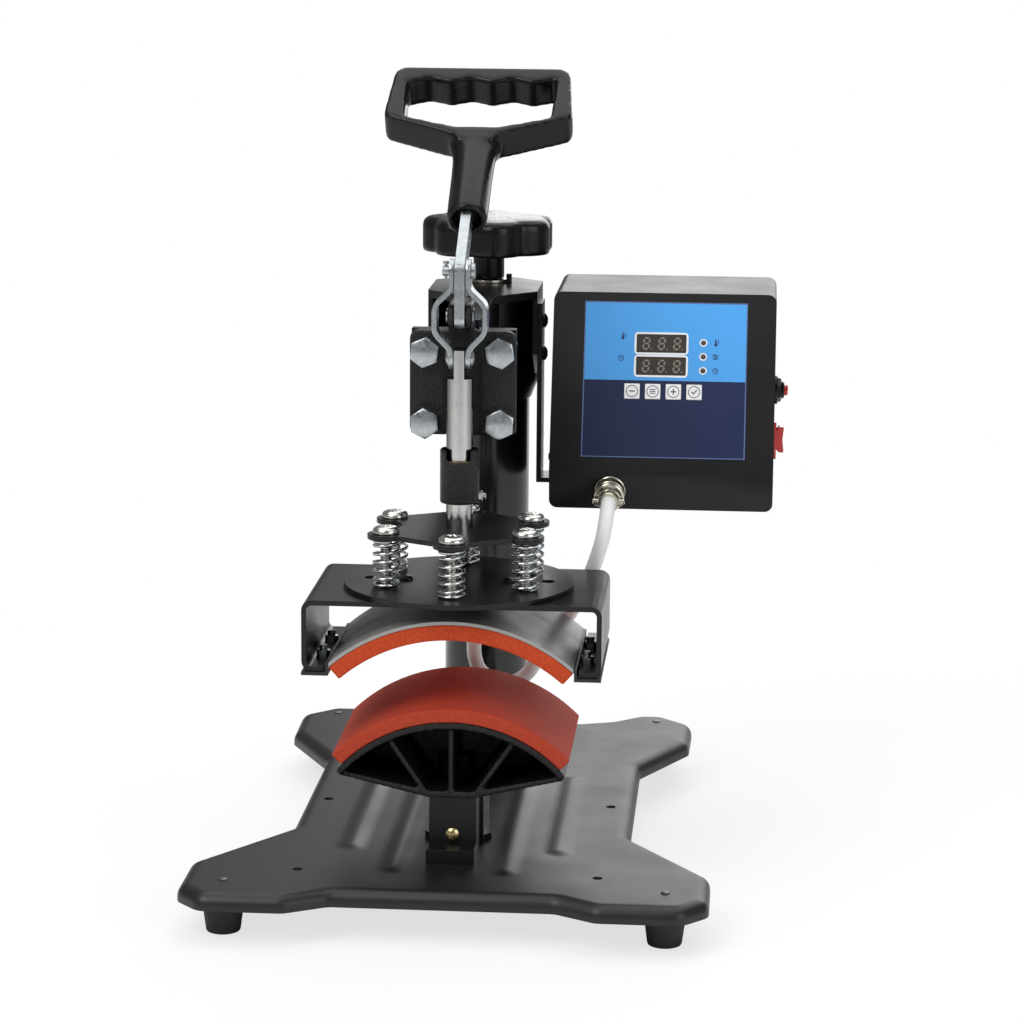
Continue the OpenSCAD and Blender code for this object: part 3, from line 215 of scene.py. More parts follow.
class Finish(Nodes):
    """One procedural material with colour, roughness and relief."""

    def __init__(self, name, colour, roughness, **fixed):
        self.material = bpy.data.materials.new(name)
        super().__init__(self.material)
        self.shader = self.add("ShaderNodeBsdfPrincipled")
        self.add("ShaderNodeOutputMaterial", {"Surface": self.shader.outputs["BSDF"]})
        self.place = self.add("ShaderNodeTexCoord").outputs["Object"]
        self.colour = tuple(colour)
        self.normal = None
        self.put("Base Color", (*self.colour, 1))
        self.put("Roughness", roughness)
        for key, value in fixed.items():
            self.put(key.replace("_", " "), value)

    def put(self, name, value):
        self.join(self.shader.inputs[name], value)

    def stretched(self, stretch, turn=(0, 0, 0)):
        return self.add("ShaderNodeMapping", {"Vector": self.place, "Scale": stretch, "Rotation": turn}).outputs[0]

    def noise(self, size_mm, detail=3.0, stretch=None, roughness=0.55):
        place = self.stretched(stretch) if stretch else self.place
        return self.add("ShaderNodeTexNoise", {"Vector": place, "Scale": 1 / (size_mm * MM), "Detail": detail,
                                               "Roughness": roughness}).outputs[0]

    def cells(self, size_mm, output="Distance"):
        return self.add("ShaderNodeTexVoronoi", {"Vector": self.place, "Scale": 1 / (size_mm * MM)}).outputs[output]

    def shade(self, share, colour=None):
        return [min(1, c * share) for c in colour or self.colour]

    def vary(self, value, low, high):
        """The base colour, darker to lighter with a value from 0 to 1."""
        self.put("Base Color", self.blend(value, self.shade(low), self.shade(high)))
        return self

    def rough(self, value, low, high):
        self.put("Roughness", self.between(value, 0.3, 0.7, low, high))
        return self

    def bump(self, height, depth_mm):
        sockets = {"Height": height, "Distance": depth_mm * MM}
        if self.normal:
            sockets["Normal"] = self.normal
        self.normal = self.add("ShaderNodeBump", sockets).outputs[0]
        self.put("Normal", self.normal)
        return self


def powder_coat(name, colour, roughness, grain, relief, specular=0.5):
    made = Finish(name, colour, roughness, Specular_IOR_Level=specular)
    patch = made.noise(38, 4)
    made.vary(patch, 0.9, 1.12).rough(patch, roughness - 0.03, roughness + 0.04)
    return made.bump(made.noise(grain, 2), relief).bump(made.noise(9, 2), relief)


def casting(name, colour):
    made = Finish(name, colour, 0.3, Specular_IOR_Level=0.35)
    patch = made.noise(14, 5)
    made.vary(patch, 0.7, 1.4).rough(patch, 0.22, 0.4)
    return made.bump(made.noise(1.9, 4, roughness=0.7), 0.75).bump(made.cells(1.5), 0.3)


def moulded(name, colour, roughness, specular=0.5, coat=0.0):
    made = Finish(name, colour, roughness, Specular_IOR_Level=specular, Coat_Weight=coat)
    patch = made.noise(20, 3)
    made.vary(patch, 0.85, 1.2).rough(made.noise(3, 5), roughness - 0.04, roughness + 0.08)
    return made.bump(made.noise(1.4, 2), 0.004)


def rubber(name, colour):
    made = Finish(name, colour, 0.62)
    dust = made.noise(4, 6)
    made.vary(dust, 0.7, 1.6).rough(dust, 0.55, 0.75)
    return made.bump(made.noise(0.8, 3), 0.05)


def plated(name, colour, roughness=0.27, grain=2.2):
    """Zinc or nickel plate: faint crystals, small scratches and duller patches."""
    made = Finish(name, colour, roughness, Metallic=1.0)
    tone = made.add("ShaderNodeSeparateColor", {0: made.cells(grain, "Color")}).outputs[0]
    made.vary(made.between(tone, 0, 1, 0.35, 0.65), 0.72, 1.25)
    made.rough(made.noise(3.5, 5), roughness - 0.06, roughness + 0.14)
    return made.bump(made.noise(0.6, 3, stretch=(1, 1, 0.12)), 0.008)


def turned(name, colour, roughness=0.14):
    """Ground or turned steel, with painted shade that darkens it towards its silhouette, and fine rings across its
    length.
    """
    made = Finish(name, colour, roughness, Metallic=1.0)
    rings = made.noise(0.35, 2, stretch=(0.02, 0.02, 1))
    # Painted shade: the colour darkens towards the silhouette, standing in for the dark reflections that round steel
    # shows there.
    edge = made.add("ShaderNodeLayerWeight", {"Blend": 0.5}).outputs["Facing"]
    tone = made.blend(made.between(edge, 0.12, 0.62), colour, made.shade(0.13))
    made.put("Base Color", made.blend(made.between(rings, 0.3, 0.9, 0, 0.3), tone, made.shade(0.5)))
    made.rough(made.noise(5, 4), roughness - 0.05, roughness + 0.09)
    return made.bump(rings, 0.003)


def brushed(name, colour):
    """Rolled sheet; its two lips, which bear the bracket, are black."""
    made = Finish(name, colour, 0.38)
    grain = made.noise(0.5, 3, stretch=(1, 0.02, 1))
    cloud = made.noise(26, 3)
    sheet = made.blend(made.blend(0.5, grain, cloud), made.shade(0.72), made.shade(1.2))
    lip = made.between(made.math("ABSOLUTE", made.axis(made.place, 0)), 0.0712, 0.0714)
    made.put("Base Color", made.blend(lip, sheet, (0.008,) * 3))
    made.put("Metallic", made.between(lip, 0, 1, 0.35, 0))
    made.rough(cloud, 0.32, 0.48)
    return made.bump(grain, 0.01).bump(made.noise(30, 2), 0.12)


def silicone(name, colour):
    """Silicone sponge: a smooth cloudy skin, and open pores on the cut ends that face along Y, darkened with painted
    shade.
    """
    made = Finish(name, colour, 0.7, Specular_IOR_Level=0.25)
    facing = made.axis(made.add("ShaderNodeNewGeometry").outputs["Normal"], 1)
    cut = made.between(made.math("ABSOLUTE", facing), 0.6, 0.9)
    holes = made.between(made.cells(1.0), 0.14, 0.4, 1, 0)
    grain = made.between(made.noise(0.9, 3), 0.35, 0.65)
    skin = made.blend(made.noise(11, 4), made.shade(0.84), made.shade(1.14))
    open_end = made.blend(grain, made.shade(0.82), made.shade(1.08))
    # Painted shade: the pores are darkened to stand in for the shade inside them.
    open_end = made.blend(holes, open_end, made.shade(0.6))
    made.put("Base Color", made.blend(cut, skin, open_end))
    made.rough(made.noise(1.4, 4), 0.6, 0.82)
    return made.bump(made.noise(1.8, 3), 0.05).bump(grain, 0.06)


def panel_film(name, sky, navy, sky_start):
    """Two-tone film: light blue above, dark blue below, with a thin pale edge."""
    made = Finish(name, sky, 0.4, Specular_IOR_Level=0.3)
    across = made.axis(made.place, 0)
    height = made.math("ADD", made.axis(made.place, 2), -CREASE_Z * MM)
    along = made.math("MULTIPLY", height, 1 / cos(PANEL_TILT))
    side = made.between(across, PANEL_LEFT * MM, PANEL_RIGHT * MM)
    lift = made.between(along, PANEL_LOW * MM, PANEL_HIGH * MM)
    light = made.blend(made.between(made.blend(0.5, side, lift), 0.2, 0.9), made.shade(0.9), made.shade(1.14))
    dark = made.blend(side, navy, made.shade(1.5, navy))
    tone = made.blend(made.between(along, sky_start * MM - 2e-4, sky_start * MM + 2e-4), dark, light)
    edge, fade = 7e-4, 1e-4
    for value, low, high in ((across, PANEL_LEFT, PANEL_RIGHT), (along, PANEL_LOW, PANEL_HIGH)):
        for start, way in ((low * MM + edge, fade), (high * MM - edge, -fade)):
            tone = made.blend(made.between(value, start, start + way), (0.10, 0.16, 0.34), tone)
    made.put("Base Color", tone)
    made.rough(made.noise(40, 1), 0.36, 0.44)
    return made.bump(made.noise(25, 1), 0.02)


def lamination(name, colour):
    made = Finish(name, colour, 0.45, Metallic=0.8)
    sheets = made.add("ShaderNodeTexWave", {"Vector": made.place, "Scale": 420.0, "Distortion": 0.6},
                      bands_direction="Z").outputs[0]
    return made.vary(sheets, 0.5, 1.3).bump(sheets, 0.08)


def circuit(name, colour):
    made = Finish(name, colour, 0.35)
    tracks = made.add("ShaderNodeTexBrick", {
        "Vector": made.stretched((1, 1, 1), (1.24, 0, 0)), "Color1": (*colour, 1),
        "Color2": (colour[0] * 1.6, colour[1] * 1.5, colour[2] * 1.4, 1), "Mortar": (0.02, 0.3, 0.1, 1),
        "Scale": 160.0, "Mortar Size": 0.03}).outputs
    made.put("Base Color", tracks[0])
    return made.bump(tracks[1], 0.04)


# Maker, name, colour and the maker's other values; a colour that the user can change is a name and a share of it
FINISHES = {
    "black_paint": (powder_coat, "Satin black paint", ("paint", 1), 0.32, 0.9, 0.014, 0.32),
    "base_paint": (powder_coat, "Base plate paint", ("paint", 1.1), 0.42, 0.7, 0.012),
    "gloss_black_paint": (powder_coat, "Gloss black paint", ("paint", 0.75), 0.17, 2.5, 0.008),
    "case_paint": (powder_coat, "Housing paint", ("paint", 0.72), 0.4, 0.55, 0.02, 0.38),
    "black_cast": (casting, "Black painted casting", ("paint", 0.8)),
    "black_rubber": (rubber, "Black rubber", (0.014, 0.015, 0.017)),
    "zinc_steel": (plated, "Bright zinc", ("zinc", 1)),
    "dull_zinc": (plated, "Dull zinc", (0.16, 0.165, 0.17), 0.4),
    "yellow_zinc": (plated, "Pale zinc", (0.70, 0.70, 0.66), 0.2),
    "post_screw": (plated, "Yellow zinc", (0.70, 0.58, 0.30), 0.2),
    "bright_steel": (turned, "Ground steel", (0.56, 0.56, 0.55)),
    "spring_steel": (plated, "Spring wire", (0.70, 0.72, 0.73), 0.16, 1.2),
    "nickel": (plated, "Nickel plate", ("nickel", 1), 0.2, 1.4),
    "bronze": (turned, "Sintered bronze", (0.50, 0.33, 0.13), 0.34),
    "grey_aluminium": (brushed, "Rolled grey sheet", ("sheet", 1)),
    "laminated_steel": (lamination, "Laminated steel", (0.20, 0.16, 0.11)),
    "brick_silicone": (silicone, "Brick silicone", ("lower_pad", 1)),
    "orange_silicone": (silicone, "Orange silicone", ("upper_pad", 1)),
    "white_cable": (moulded, "White sheath", ("cable", 1), 0.42),
    "black_plastic": (moulded, "Black plastic", ("plastic", 1), 0.22, 0.28),
    "handle_plastic": (moulded, "Handle plastic", ("plastic", 1), 0.24, 0.25),
    "red_plastic": (moulded, "Red plastic", ("switch", 1), 0.16, 0.5, 0.4),
    "blue_plastic": (moulded, "Blue plastic", (0.02, 0.06, 0.28), 0.35),
    "white_plastic": (moulded, "White plastic", (0.80, 0.80, 0.79), 0.3),
    "print_white": (moulded, "White print", (0.78, 0.80, 0.82), 0.4),
    "print_dark": (moulded, "Dark print", (0.012, 0.025, 0.10), 0.45),
    "smoked_plastic": (moulded, "Smoked window", (0.052, 0.044, 0.038), 0.12),
    "segment": (moulded, "Unlit segment", (0.23, 0.20, 0.175), 0.3),
    "panel_film": (panel_film, "Panel film", ("sky", 1), ("navy", 1), 57.6),
    "green_board": (circuit, "Circuit board", (0.008, 0.12, 0.035)),
}
finishes = {}


def finish(look):
    """The finish of that name, made once from the scene's colours."""
    if look not in finishes:
        maker, *values = FINISHES[look]
        for i, value in enumerate(values):
            if isinstance(value, tuple) and isinstance(value[0], str):
                values[i] = tuple(c * value[1] for c in getattr(bpy.context.scene.press_colours, value[0]))
        finishes[look] = maker(*values).material
    return finishes[look]


# Mesh building, in millimetres

def around(sides):
    return [2 * pi * i / sides for i in range(sides)]


def polar(r, a, *z):
    return (r * cos(a), r * sin(a), *z)


class Shape:
    """Gathers parts of a mesh in millimetres and makes one object of them."""

    def __init__(self):
        self.verts, self.faces = [], []

    def add(self, verts, faces, place=None):
        first = len(self.verts)
        self.verts += [place @ Vector(v) if place else Vector(v) for v in verts]
        self.faces += [[first + i for i in f] for f in faces]
        return self

    def rings(self, rings, place=None, loop=False):
        """Skin over rings of equal length; the first and last are closed by flat faces unless they loop."""
        n, m = len(rings[0]), len(rings)
        faces = [(k * n + i, k * n + (i + 1) % n, (k + 1) % m * n + (i + 1) % n, (k + 1) % m * n + i)
                 for k in range(m if loop else m - 1) for i in range(n)]
        if not loop:
            faces += [tuple(range(n))[::-1], tuple((m - 1) * n + i for i in range(n))]
        return self.add([v for ring in rings for v in ring], faces, place)

    def lathe(self, profile, place=None, sides=48, wave=None):
        """Turns a profile of (radius, height) points round +Z; wave(angle, height) scales the radius."""
        return self.rings([[polar(r * (wave(a, z) if wave else 1), a, z) for a in around(sides)] for r, z in profile],
                          place)

    def prism(self, outline, z0, z1, place=None):
        return self.rings([[(x, y, z) for x, y in outline] for z in (z0, z1)], place)

    def tube(self, path, radius, sides):
        """A round tube along points, with a frame carried from ring to ring."""
        points, side, rings = [Vector(p) for p in path], Vector((0.31, 0.87, 0.4)), []
        for i, p in enumerate(points):
            way = (points[min(i + 1, len(points) - 1)] - points[max(i - 1, 0)]).normalized()
            side = (side - way * side.dot(way)).normalized()
            other = way.cross(side)
            r = radius(i / (len(points) - 1)) if callable(radius) else radius
            rings.append([p + r * (side * cos(a) + other * sin(a)) for a in around(sides)])
        return self.rings(rings)

    def hex_head(self, flats, height, place=None):
        """Hexagon head with a chamfered crown, on z = 0."""
        crown, fall = flats * 0.47, tan(radians(28))
        edge = [(flats / 2 / cos((a + pi / 6) % (pi / 3) - pi / 6), a) for a in around(72)]
        return self.rings([[polar(r, a, 0) for r, a in edge],
                           [polar(r, a, height - (r - crown) * fall) for r, a in edge],
                           [polar(crown, a, height) for r, a in edge]], place)

    def make(self, name, look, body=None, stands_for=(), slot=None, sharp=32, edge=0.0):
        """The finished object, riding on a body."""
        mesh = bpy.data.meshes.new(name)
        mesh.from_pydata([tuple(v * MM) for v in self.verts], [], self.faces)
        work = bmesh.new()
        work.from_mesh(mesh)
        bmesh.ops.remove_doubles(work, verts=work.verts, dist=1e-7)
        bmesh.ops.dissolve_degenerate(work, edges=work.edges, dist=1e-8)
        bmesh.ops.recalc_face_normals(work, faces=work.faces)
        work.to_mesh(mesh)
        work.free()
        mesh.shade_smooth()
        mesh.set_sharp_from_angle(angle=radians(sharp))
        piece = bpy.data.objects.new(name, mesh)
        bpy.context.scene.collection.objects.link(piece)
        if edge:
            round_edges(piece, edge, sharp)
        return settle(piece, look, body, stands_for)


def settle(piece, look, body=None, stands_for=()):
    """Gives a piece its finish and its body, and hides the nodes that it stands for."""
    piece.data.materials.clear()
    piece.data.materials.append(finish(look))
    if body:
        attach(piece, body)
    if stands_for:
        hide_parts(*stands_for)
    return piece


def modify(piece, kind, **settings):
    made = piece.modifiers.new(kind.title(), kind)
    for key, value in settings.items():
        setattr(made, key, value)


def round_edges(piece, width_mm, angle=32):
    modify(piece, "BEVEL", width=width_mm * MM, segments=2, limit_method="ANGLE", angle_limit=radians(angle))
    modify(piece, "WEIGHTED_NORMAL", keep_sharp=False)


def dress(look, edge_mm, *nodes):
    """Gives CAD nodes a finish and small rounded edges."""
    for name in nodes:
        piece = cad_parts[name]
        for slot in piece.material_slots:
            slot.material = finish(look)
        modify(piece, "WELD", merge_threshold=WELD)
        modify(piece, "DECIMATE", decimate_type="DISSOLVE", angle_limit=radians(0.4))
        round_edges(piece, edge_mm, 34)


def baked(piece):
    """Turns a piece's modifiers into its mesh."""
    bpy.context.view_layer.update()
    seen = piece.evaluated_get(bpy.context.evaluated_depsgraph_get())
    mesh = bpy.data.meshes.new_from_object(seen)
    piece.modifiers.clear()
    piece.data = mesh


def melted(piece, share, passes):
    """Joins a piece's bodies into one skin and rounds its edges by smoothing that even mesh."""
    modify(piece, "REMESH", mode="VOXEL", voxel_size=bpy.context.scene.press_sizes.mould * share)
    modify(piece, "SMOOTH", factor=0.5, iterations=passes)
    baked(piece)
    piece.data.shade_smooth()


def softened(name, node, look, body, share, passes):
    """A cast copy of a solid."""
    piece = bpy.data.objects.new(name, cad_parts[node].data.copy())
    bpy.context.scene.collection.objects.link(piece)
    modify(piece, "WELD", merge_threshold=WELD)
    melted(piece, share, passes)
    settle(piece, look, body, (node,))


def rounded(corners, radius, steps=5):
    """A closed outline whose corners are arcs."""
    out, n = [], len(corners)
    for i in range(n):
        a, b, c = (Vector(corners[(i + k) % n]) for k in (-1, 0, 1))
        u, v = (a - b).normalized(), (c - b).normalized()
        half = u.angle(v) / 2
        cut = min(radius / tan(half), 0.45 * min((a - b).length, (c - b).length))
        r = cut * tan(half)
        mid = b + (u + v).normalized() * r / sin(half)
        p, q = b + u * cut - mid, b + v * cut - mid
        turn = atan2(p.x * q.y - p.y * q.x, p.dot(q))
        for k in range(steps + 1):
            s = turn * k / steps
            out.append((mid.x + p.x * cos(s) - p.y * sin(s), mid.y + p.x * sin(s) + p.y * cos(s)))
    return out


def rectangle(x, y, w, h, r, steps=4):
    return rounded([(x - w / 2, y - h / 2), (x + w / 2, y - h / 2), (x + w / 2, y + h / 2), (x - w / 2, y + h / 2)],
                   r, steps)


def circle(x, y, r, sides=32):
    return [(x + r * cos(a), y + r * sin(a)) for a in around(sides)]


def smooth_route(points, steps):
    """A smooth curve through points."""
    p = [Vector(v) for v in points]
    out = []
    for i in range(len(p) - 1):
        a, b, c, d = p[max(i - 1, 0)], p[i], p[i + 1], p[min(i + 2, len(p) - 1)]
        for k in range(steps):
            t = k / steps
            out.append(0.5 * (2 * b + (c - a) * t + (2 * a - 5 * b + 4 * c - d) * t * t
                              + (3 * b - a - 3 * c + d) * t ** 3))
    return out + [p[-1]]


def at(x, y, z, toward=(0, 0, 1), turn=0.0):
    """Placing matrix whose +Z points along a direction."""
    aim = Vector(toward).to_track_quat("Z", "Y").to_matrix().to_4x4()
    return Matrix.Translation((x, y, z)) @ aim @ Matrix.Rotation(radians(turn), 4, "Z")


LEVER = Matrix.Translation((0, AXIS_Y, LINK_TOP)) @ Matrix.Rotation(-radians(LEVER_LEAN), 4, "X")
# Panel frame: x across, y up the slope, z out of the case
PANEL = (Matrix.Translation((0, 0, CREASE_Z)) @ Matrix.Rotation(-PANEL_TILT, 4, "X")
         @ Matrix(((1, 0, 0, 0), (0, 0, -1, 0), (0, 1, 0, 0), (0, 0, 0, 1))))
LOWER_TILT = atan2(CASE_TUCK, CREASE_Z - CASE_LOW)
LOWER_FACE = (Matrix.Translation((SOCKET_X, CASE_TUCK / 2, (CREASE_Z + CASE_LOW) / 2))
              @ Matrix.Rotation(pi / 2 + LOWER_TILT, 4, "X"))


def ring_plate(shape, outer, inner, z0, z1, place):
    """A flat frame between two outlines of equal length."""
    loops = [[(x, y, z) for x, y in loop] for loop, z in ((outer, z0), (outer, z1), (inner, z1), (inner, z0))]
    return shape.rings(loops, place, loop=True)


def on_panel(x, y, turn=0):
    return PANEL @ Matrix.Translation((x, y, 0)) @ Matrix.Rotation(radians(turn), 4, "Z")


def dense(path, step):
    """Points along a path, its last one left out, at most a step apart."""
    out = []
    for a, b in zip(map(Vector, path), map(Vector, path[1:])):
        count = max(1, ceil((b - a).length / step))
        out += [a.lerp(b, k / count) for k in range(count)]
    return out


def spring_places():
    for i in range(6):
        a = radians(90 + 60 * i)
        yield SPRING_CIRCLE * cos(a), AXIS_Y + SPRING_CIRCLE * sin(a)


# One operator for each group of pieces

class PRESS_OT_stage(bpy.types.Operator):
    """Camera, floor, lamps and white surroundings"""

    bl_idname = "cap_press.stage"
    bl_label = "Stage"

    def execute(self, context):
        scene = context.scene
        yaw, pitch, roll = 0.075037, 0.197948, 0.0077238
        ahead = Vector((-sin(yaw) * cos(pitch), cos(yaw) * cos(pitch), -sin(pitch)))
        right = Vector((cos(yaw), sin(yaw), 0))
        up = right.cross(ahead)
        across = cos(roll) * right + sin(roll) * up
        above = -sin(roll) * right + cos(roll) * up
        camera = bpy.data.objects.new("Camera", bpy.data.cameras.new("Camera"))
        camera.data.sensor_width = 36
        camera.data.sensor_fit = "HORIZONTAL"
        camera.data.lens = 3257.587 / 1024 * 36
        camera.data.clip_start, camera.data.clip_end = 0.1, 60
        turn = Matrix((across, above, -ahead)).transposed().to_4x4()
        camera.matrix_world = Matrix.Translation((0.17234, -1.97474, 0.60988)) @ turn
        scene.collection.objects.link(camera)
        scene.camera = camera
        scene.view_settings.view_transform = "Standard"

        for name, place, aim, size, power, tint in (
                ("Key", (-1.1, -1.5, 1.9), (0, -0.05, 0.25), 1.5, 34, (1, 0.99, 0.97)),
                ("Fill", (1.7, -1.5, 0.9), (0, 0, 0.25), 1.4, 12, (0.97, 0.985, 1)),
                ("Top", (0.15, 0.35, 2.0), (0, 0, 0.2), 2.4, 30, (1, 1, 1)),
                ("Back", (0.5, 1.9, 1.0), (0, 0, 0.3), 1.5, 16, (1, 1, 1))):
            lamp = bpy.data.objects.new(name, bpy.data.lights.new(name, "AREA"))
            lamp.data.shape = "SQUARE"
            lamp.data.size = size
            lamp.data.energy = power
            lamp.data.color = tint
            lamp.location = place
            lamp.rotation_euler = (Vector(aim) - Vector(place)).to_track_quat("-Z", "Y").to_euler()
            scene.collection.objects.link(lamp)

        scene.world = bpy.data.worlds.new("Surroundings")
        world = Nodes(scene.world)
        soft = world.add("ShaderNodeBackground", {"Color": (0.96, 0.98, 1, 1), "Strength": 0.2})
        seen = world.add("ShaderNodeBackground", {"Color": (1, 1, 1, 1), "Strength": 1.0})
        mix = world.add("ShaderNodeMixShader", {0: world.seen_directly(), 1: soft.outputs[0], 2: seen.outputs[0]})
        world.add("ShaderNodeOutputWorld", {0: mix.outputs[0]})

        mesh = bpy.data.meshes.new("Floor")
        reach, depth = 6, -0.0002
        mesh.from_pydata([(x * reach, y * reach, depth) for x, y in ((-1, -1), (1, -1), (1, 1), (-1, 1))], [],
                         [(0, 1, 2, 3)])
        mesh.materials.append(self.paper())
        floor = bpy.data.objects.new("Floor", mesh)
        scene.collection.objects.link(floor)
        return {"FINISHED"}

    def paper(self):
        """White paper: its own light makes it white, more so further out, and its shading keeps the shadow."""
        material = bpy.data.materials.new("Paper")
        made = Nodes(material)
        place = made.add("ShaderNodeTexCoord").outputs["Object"]
        far = made.add("ShaderNodeVectorMath", {0: place}, operation="LENGTH").outputs["Value"]
        share = made.math("MULTIPLY", made.seen_directly(), made.between(far, 0.25, 0.85, 0.72, 1.0))
        cloud = made.add("ShaderNodeTexNoise", {"Scale": 3}).outputs[0]
        colour = made.blend(cloud, (0.90, 0.90, 0.895), (0.93, 0.93, 0.925))
        white = made.add("ShaderNodeBsdfDiffuse", {"Color": colour})
        glow = made.add("ShaderNodeEmission", {"Color": (1, 1, 1, 1), "Strength": 1.0})
        both = made.add("ShaderNodeMixShader", {0: share, 1: white.outputs[0], 2: glow.outputs[0]})
        made.add("ShaderNodeOutputMaterial", {0: both.outputs[0]})
        return material


class PRESS_OT_cable(bpy.types.Operator):
    """White heater cable from the controller's plug to the heated pad, in two lengths that meet under the gap"""

    bl_idname = "cap_press.cable"
    bl_label = "Heater cable"

    def execute(self, context):
        diameter = context.scene.press_sizes.cable
        steps = 8
        route, split = smooth_route(CABLE_ROUTE, steps), ROUTE_SPLIT * steps
        spans = (("cable_upper", route[:split + 1], "head", "plunger", (5, 12)),
                 ("cable_lower", route[split:], "plunger", "platen", (16, 22)))
        for name, path, first, second, bend in spans:
            piece = Shape().tube(path, diameter / MM / 2, 24).make(name, "white_cable", stands_for=("heater_cable",))
            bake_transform(piece)
        sleeve = Shape().tube(smooth_route([(0.4, -31.5, 169.2), (0.1, -35, 169.9), (0, -40, 170), (0, -45.2, 170)], 6),
                              lambda t: 4.55 + 1.5 * t ** 0.7, 24)
        sleeve.make("cable_boot", "orange_silicone", "platen")
        return {"FINISHED"}


class PRESS_OT_springs(bpy.types.Operator):
    """Six round-wire springs with closed ends"""

    bl_idname = "cap_press.springs"
    bl_label = "Springs"

    def execute(self, context):
        sizes = context.scene.press_sizes
        wire, turns = sizes.wire / MM, sizes.turns
        low, high = DISC_Z + wire / 2, SPIDER_Z - wire / 2
        per_turn = 28
        closed, closed_climb = 0.95, 0.32
        steps = round(turns * per_turn)
        middles = (turns * (i + 0.5) / steps for i in range(steps))
        climb = [closed_climb if min(t, turns - t) < closed else 1.0 for t in middles]
        scale = (high - low) / sum(climb)
        heights = [low]
        for share in climb:
            heights.append(heights[-1] + share * scale)
        for _ in range(6):
            inner = [(a + 2 * b + c) / 4 for a, b, c in zip(heights, heights[1:], heights[2:])]
            heights = [heights[0], *inner, heights[-1]]
        shape = Shape()
        for i, (x, y) in enumerate(spring_places()):
            start = 1.9 + 2.4 * i
            path = [(x + COIL_R * cos(start + 2 * pi * k / per_turn),
                     y + COIL_R * sin(start + 2 * pi * k / per_turn), z) for k, z in enumerate(heights)]
            shape.tube(path, wire / 2, 10)
        piece = shape.make("coil_springs", "spring_steel", "platen", ("springs",), sharp=50)
        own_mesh(piece)
        return {"FINISHED"}


class PRESS_OT_pads(bpy.types.Operator):
    """Curved silicone pads with rounded edges and a porous skin"""

    bl_idname = "cap_press.pads"
    bl_label = "Silicone pads"

    def execute(self, context):
        edge = context.scene.press_sizes.pad_edge / MM
        for name, node, look, body, *sizes in PADS:
            piece = self.pad(name, look, edge, *sizes)
            settle(piece, look, body, (node,))
        return {"FINISHED"}

    def pad(self, name, look, edge, r_in, r_out, half_angle, axis_z, crumb):
        middle = (r_in + r_out) / 2
        half = (radians(half_angle) * middle, (r_out - r_in) / 2, (PAD_REAR - PAD_FRONT) / 2)
        depth = (PAD_REAR + PAD_FRONT) / 2
        verts, faces = rounded_block(half, edge, (1.9, 1.6, 2.0))
        shape = Shape()
        bent = []
        for v in verts:
            at_noise = Vector(v) * 0.55
            outward = Vector([0 if abs(c) < h - edge else copysign(1, c) for c, h in zip(v, half)])
            if outward.length:
                outward.normalize()
            push = crumb * (noise.noise(at_noise) - 0.6 * max(0, noise.noise(Vector(v) * 1.3)))
            x, r, y = (c + o * min(0, push - crumb * 0.4) for c, o in zip(v, outward))
            angle, radius = x / middle, middle + r
            bent.append((radius * sin(angle), y + depth, axis_z + radius * cos(angle)))
        shape.add(bent, faces)
        return shape.make(name, look, sharp=60)


def rounded_block(half, radius, step):
    """Vertices and faces of a block with rounded edges, divided evenly; half sizes in millimetres."""
    lines = []
    for h, s in zip(half, step):
        inner = h - radius
        count = max(2, round(2 * inner / s))
        ends = [radius * tan(radians(15 * k)) for k in (1, 2, 3)]
        lines.append([-inner - e for e in reversed(ends)] + [-inner + 2 * inner * i / count for i in range(count + 1)]
                     + [inner + e for e in ends])
    index, verts, faces = {}, [], []

    def corner(p):
        key = tuple(round(c, 4) for c in p)
        if key not in index:
            core = Vector([max(-(h - radius), min(h - radius, c)) for c, h in zip(p, half)])
            out = Vector(p) - core
            verts.append(tuple(core + out.normalized() * radius) if out.length > 1e-6 else tuple(p))
            index[key] = len(verts) - 1
        return index[key]
    for axis in range(3):
        a, b = (axis + 1) % 3, (axis + 2) % 3
        for side in (-1, 1):
            for i in range(len(lines[a]) - 1):
                for j in range(len(lines[b]) - 1):
                    quad = []
                    for u, v in ((i, j), (i + 1, j), (i + 1, j + 1), (i, j + 1)):
                        p = [0, 0, 0]
                        p[axis], p[a], p[b] = side * half[axis], lines[a][u], lines[b][v]
                        quad.append(corner(p))
                    faces.append(quad if side > 0 else quad[::-1])
    return verts, faces


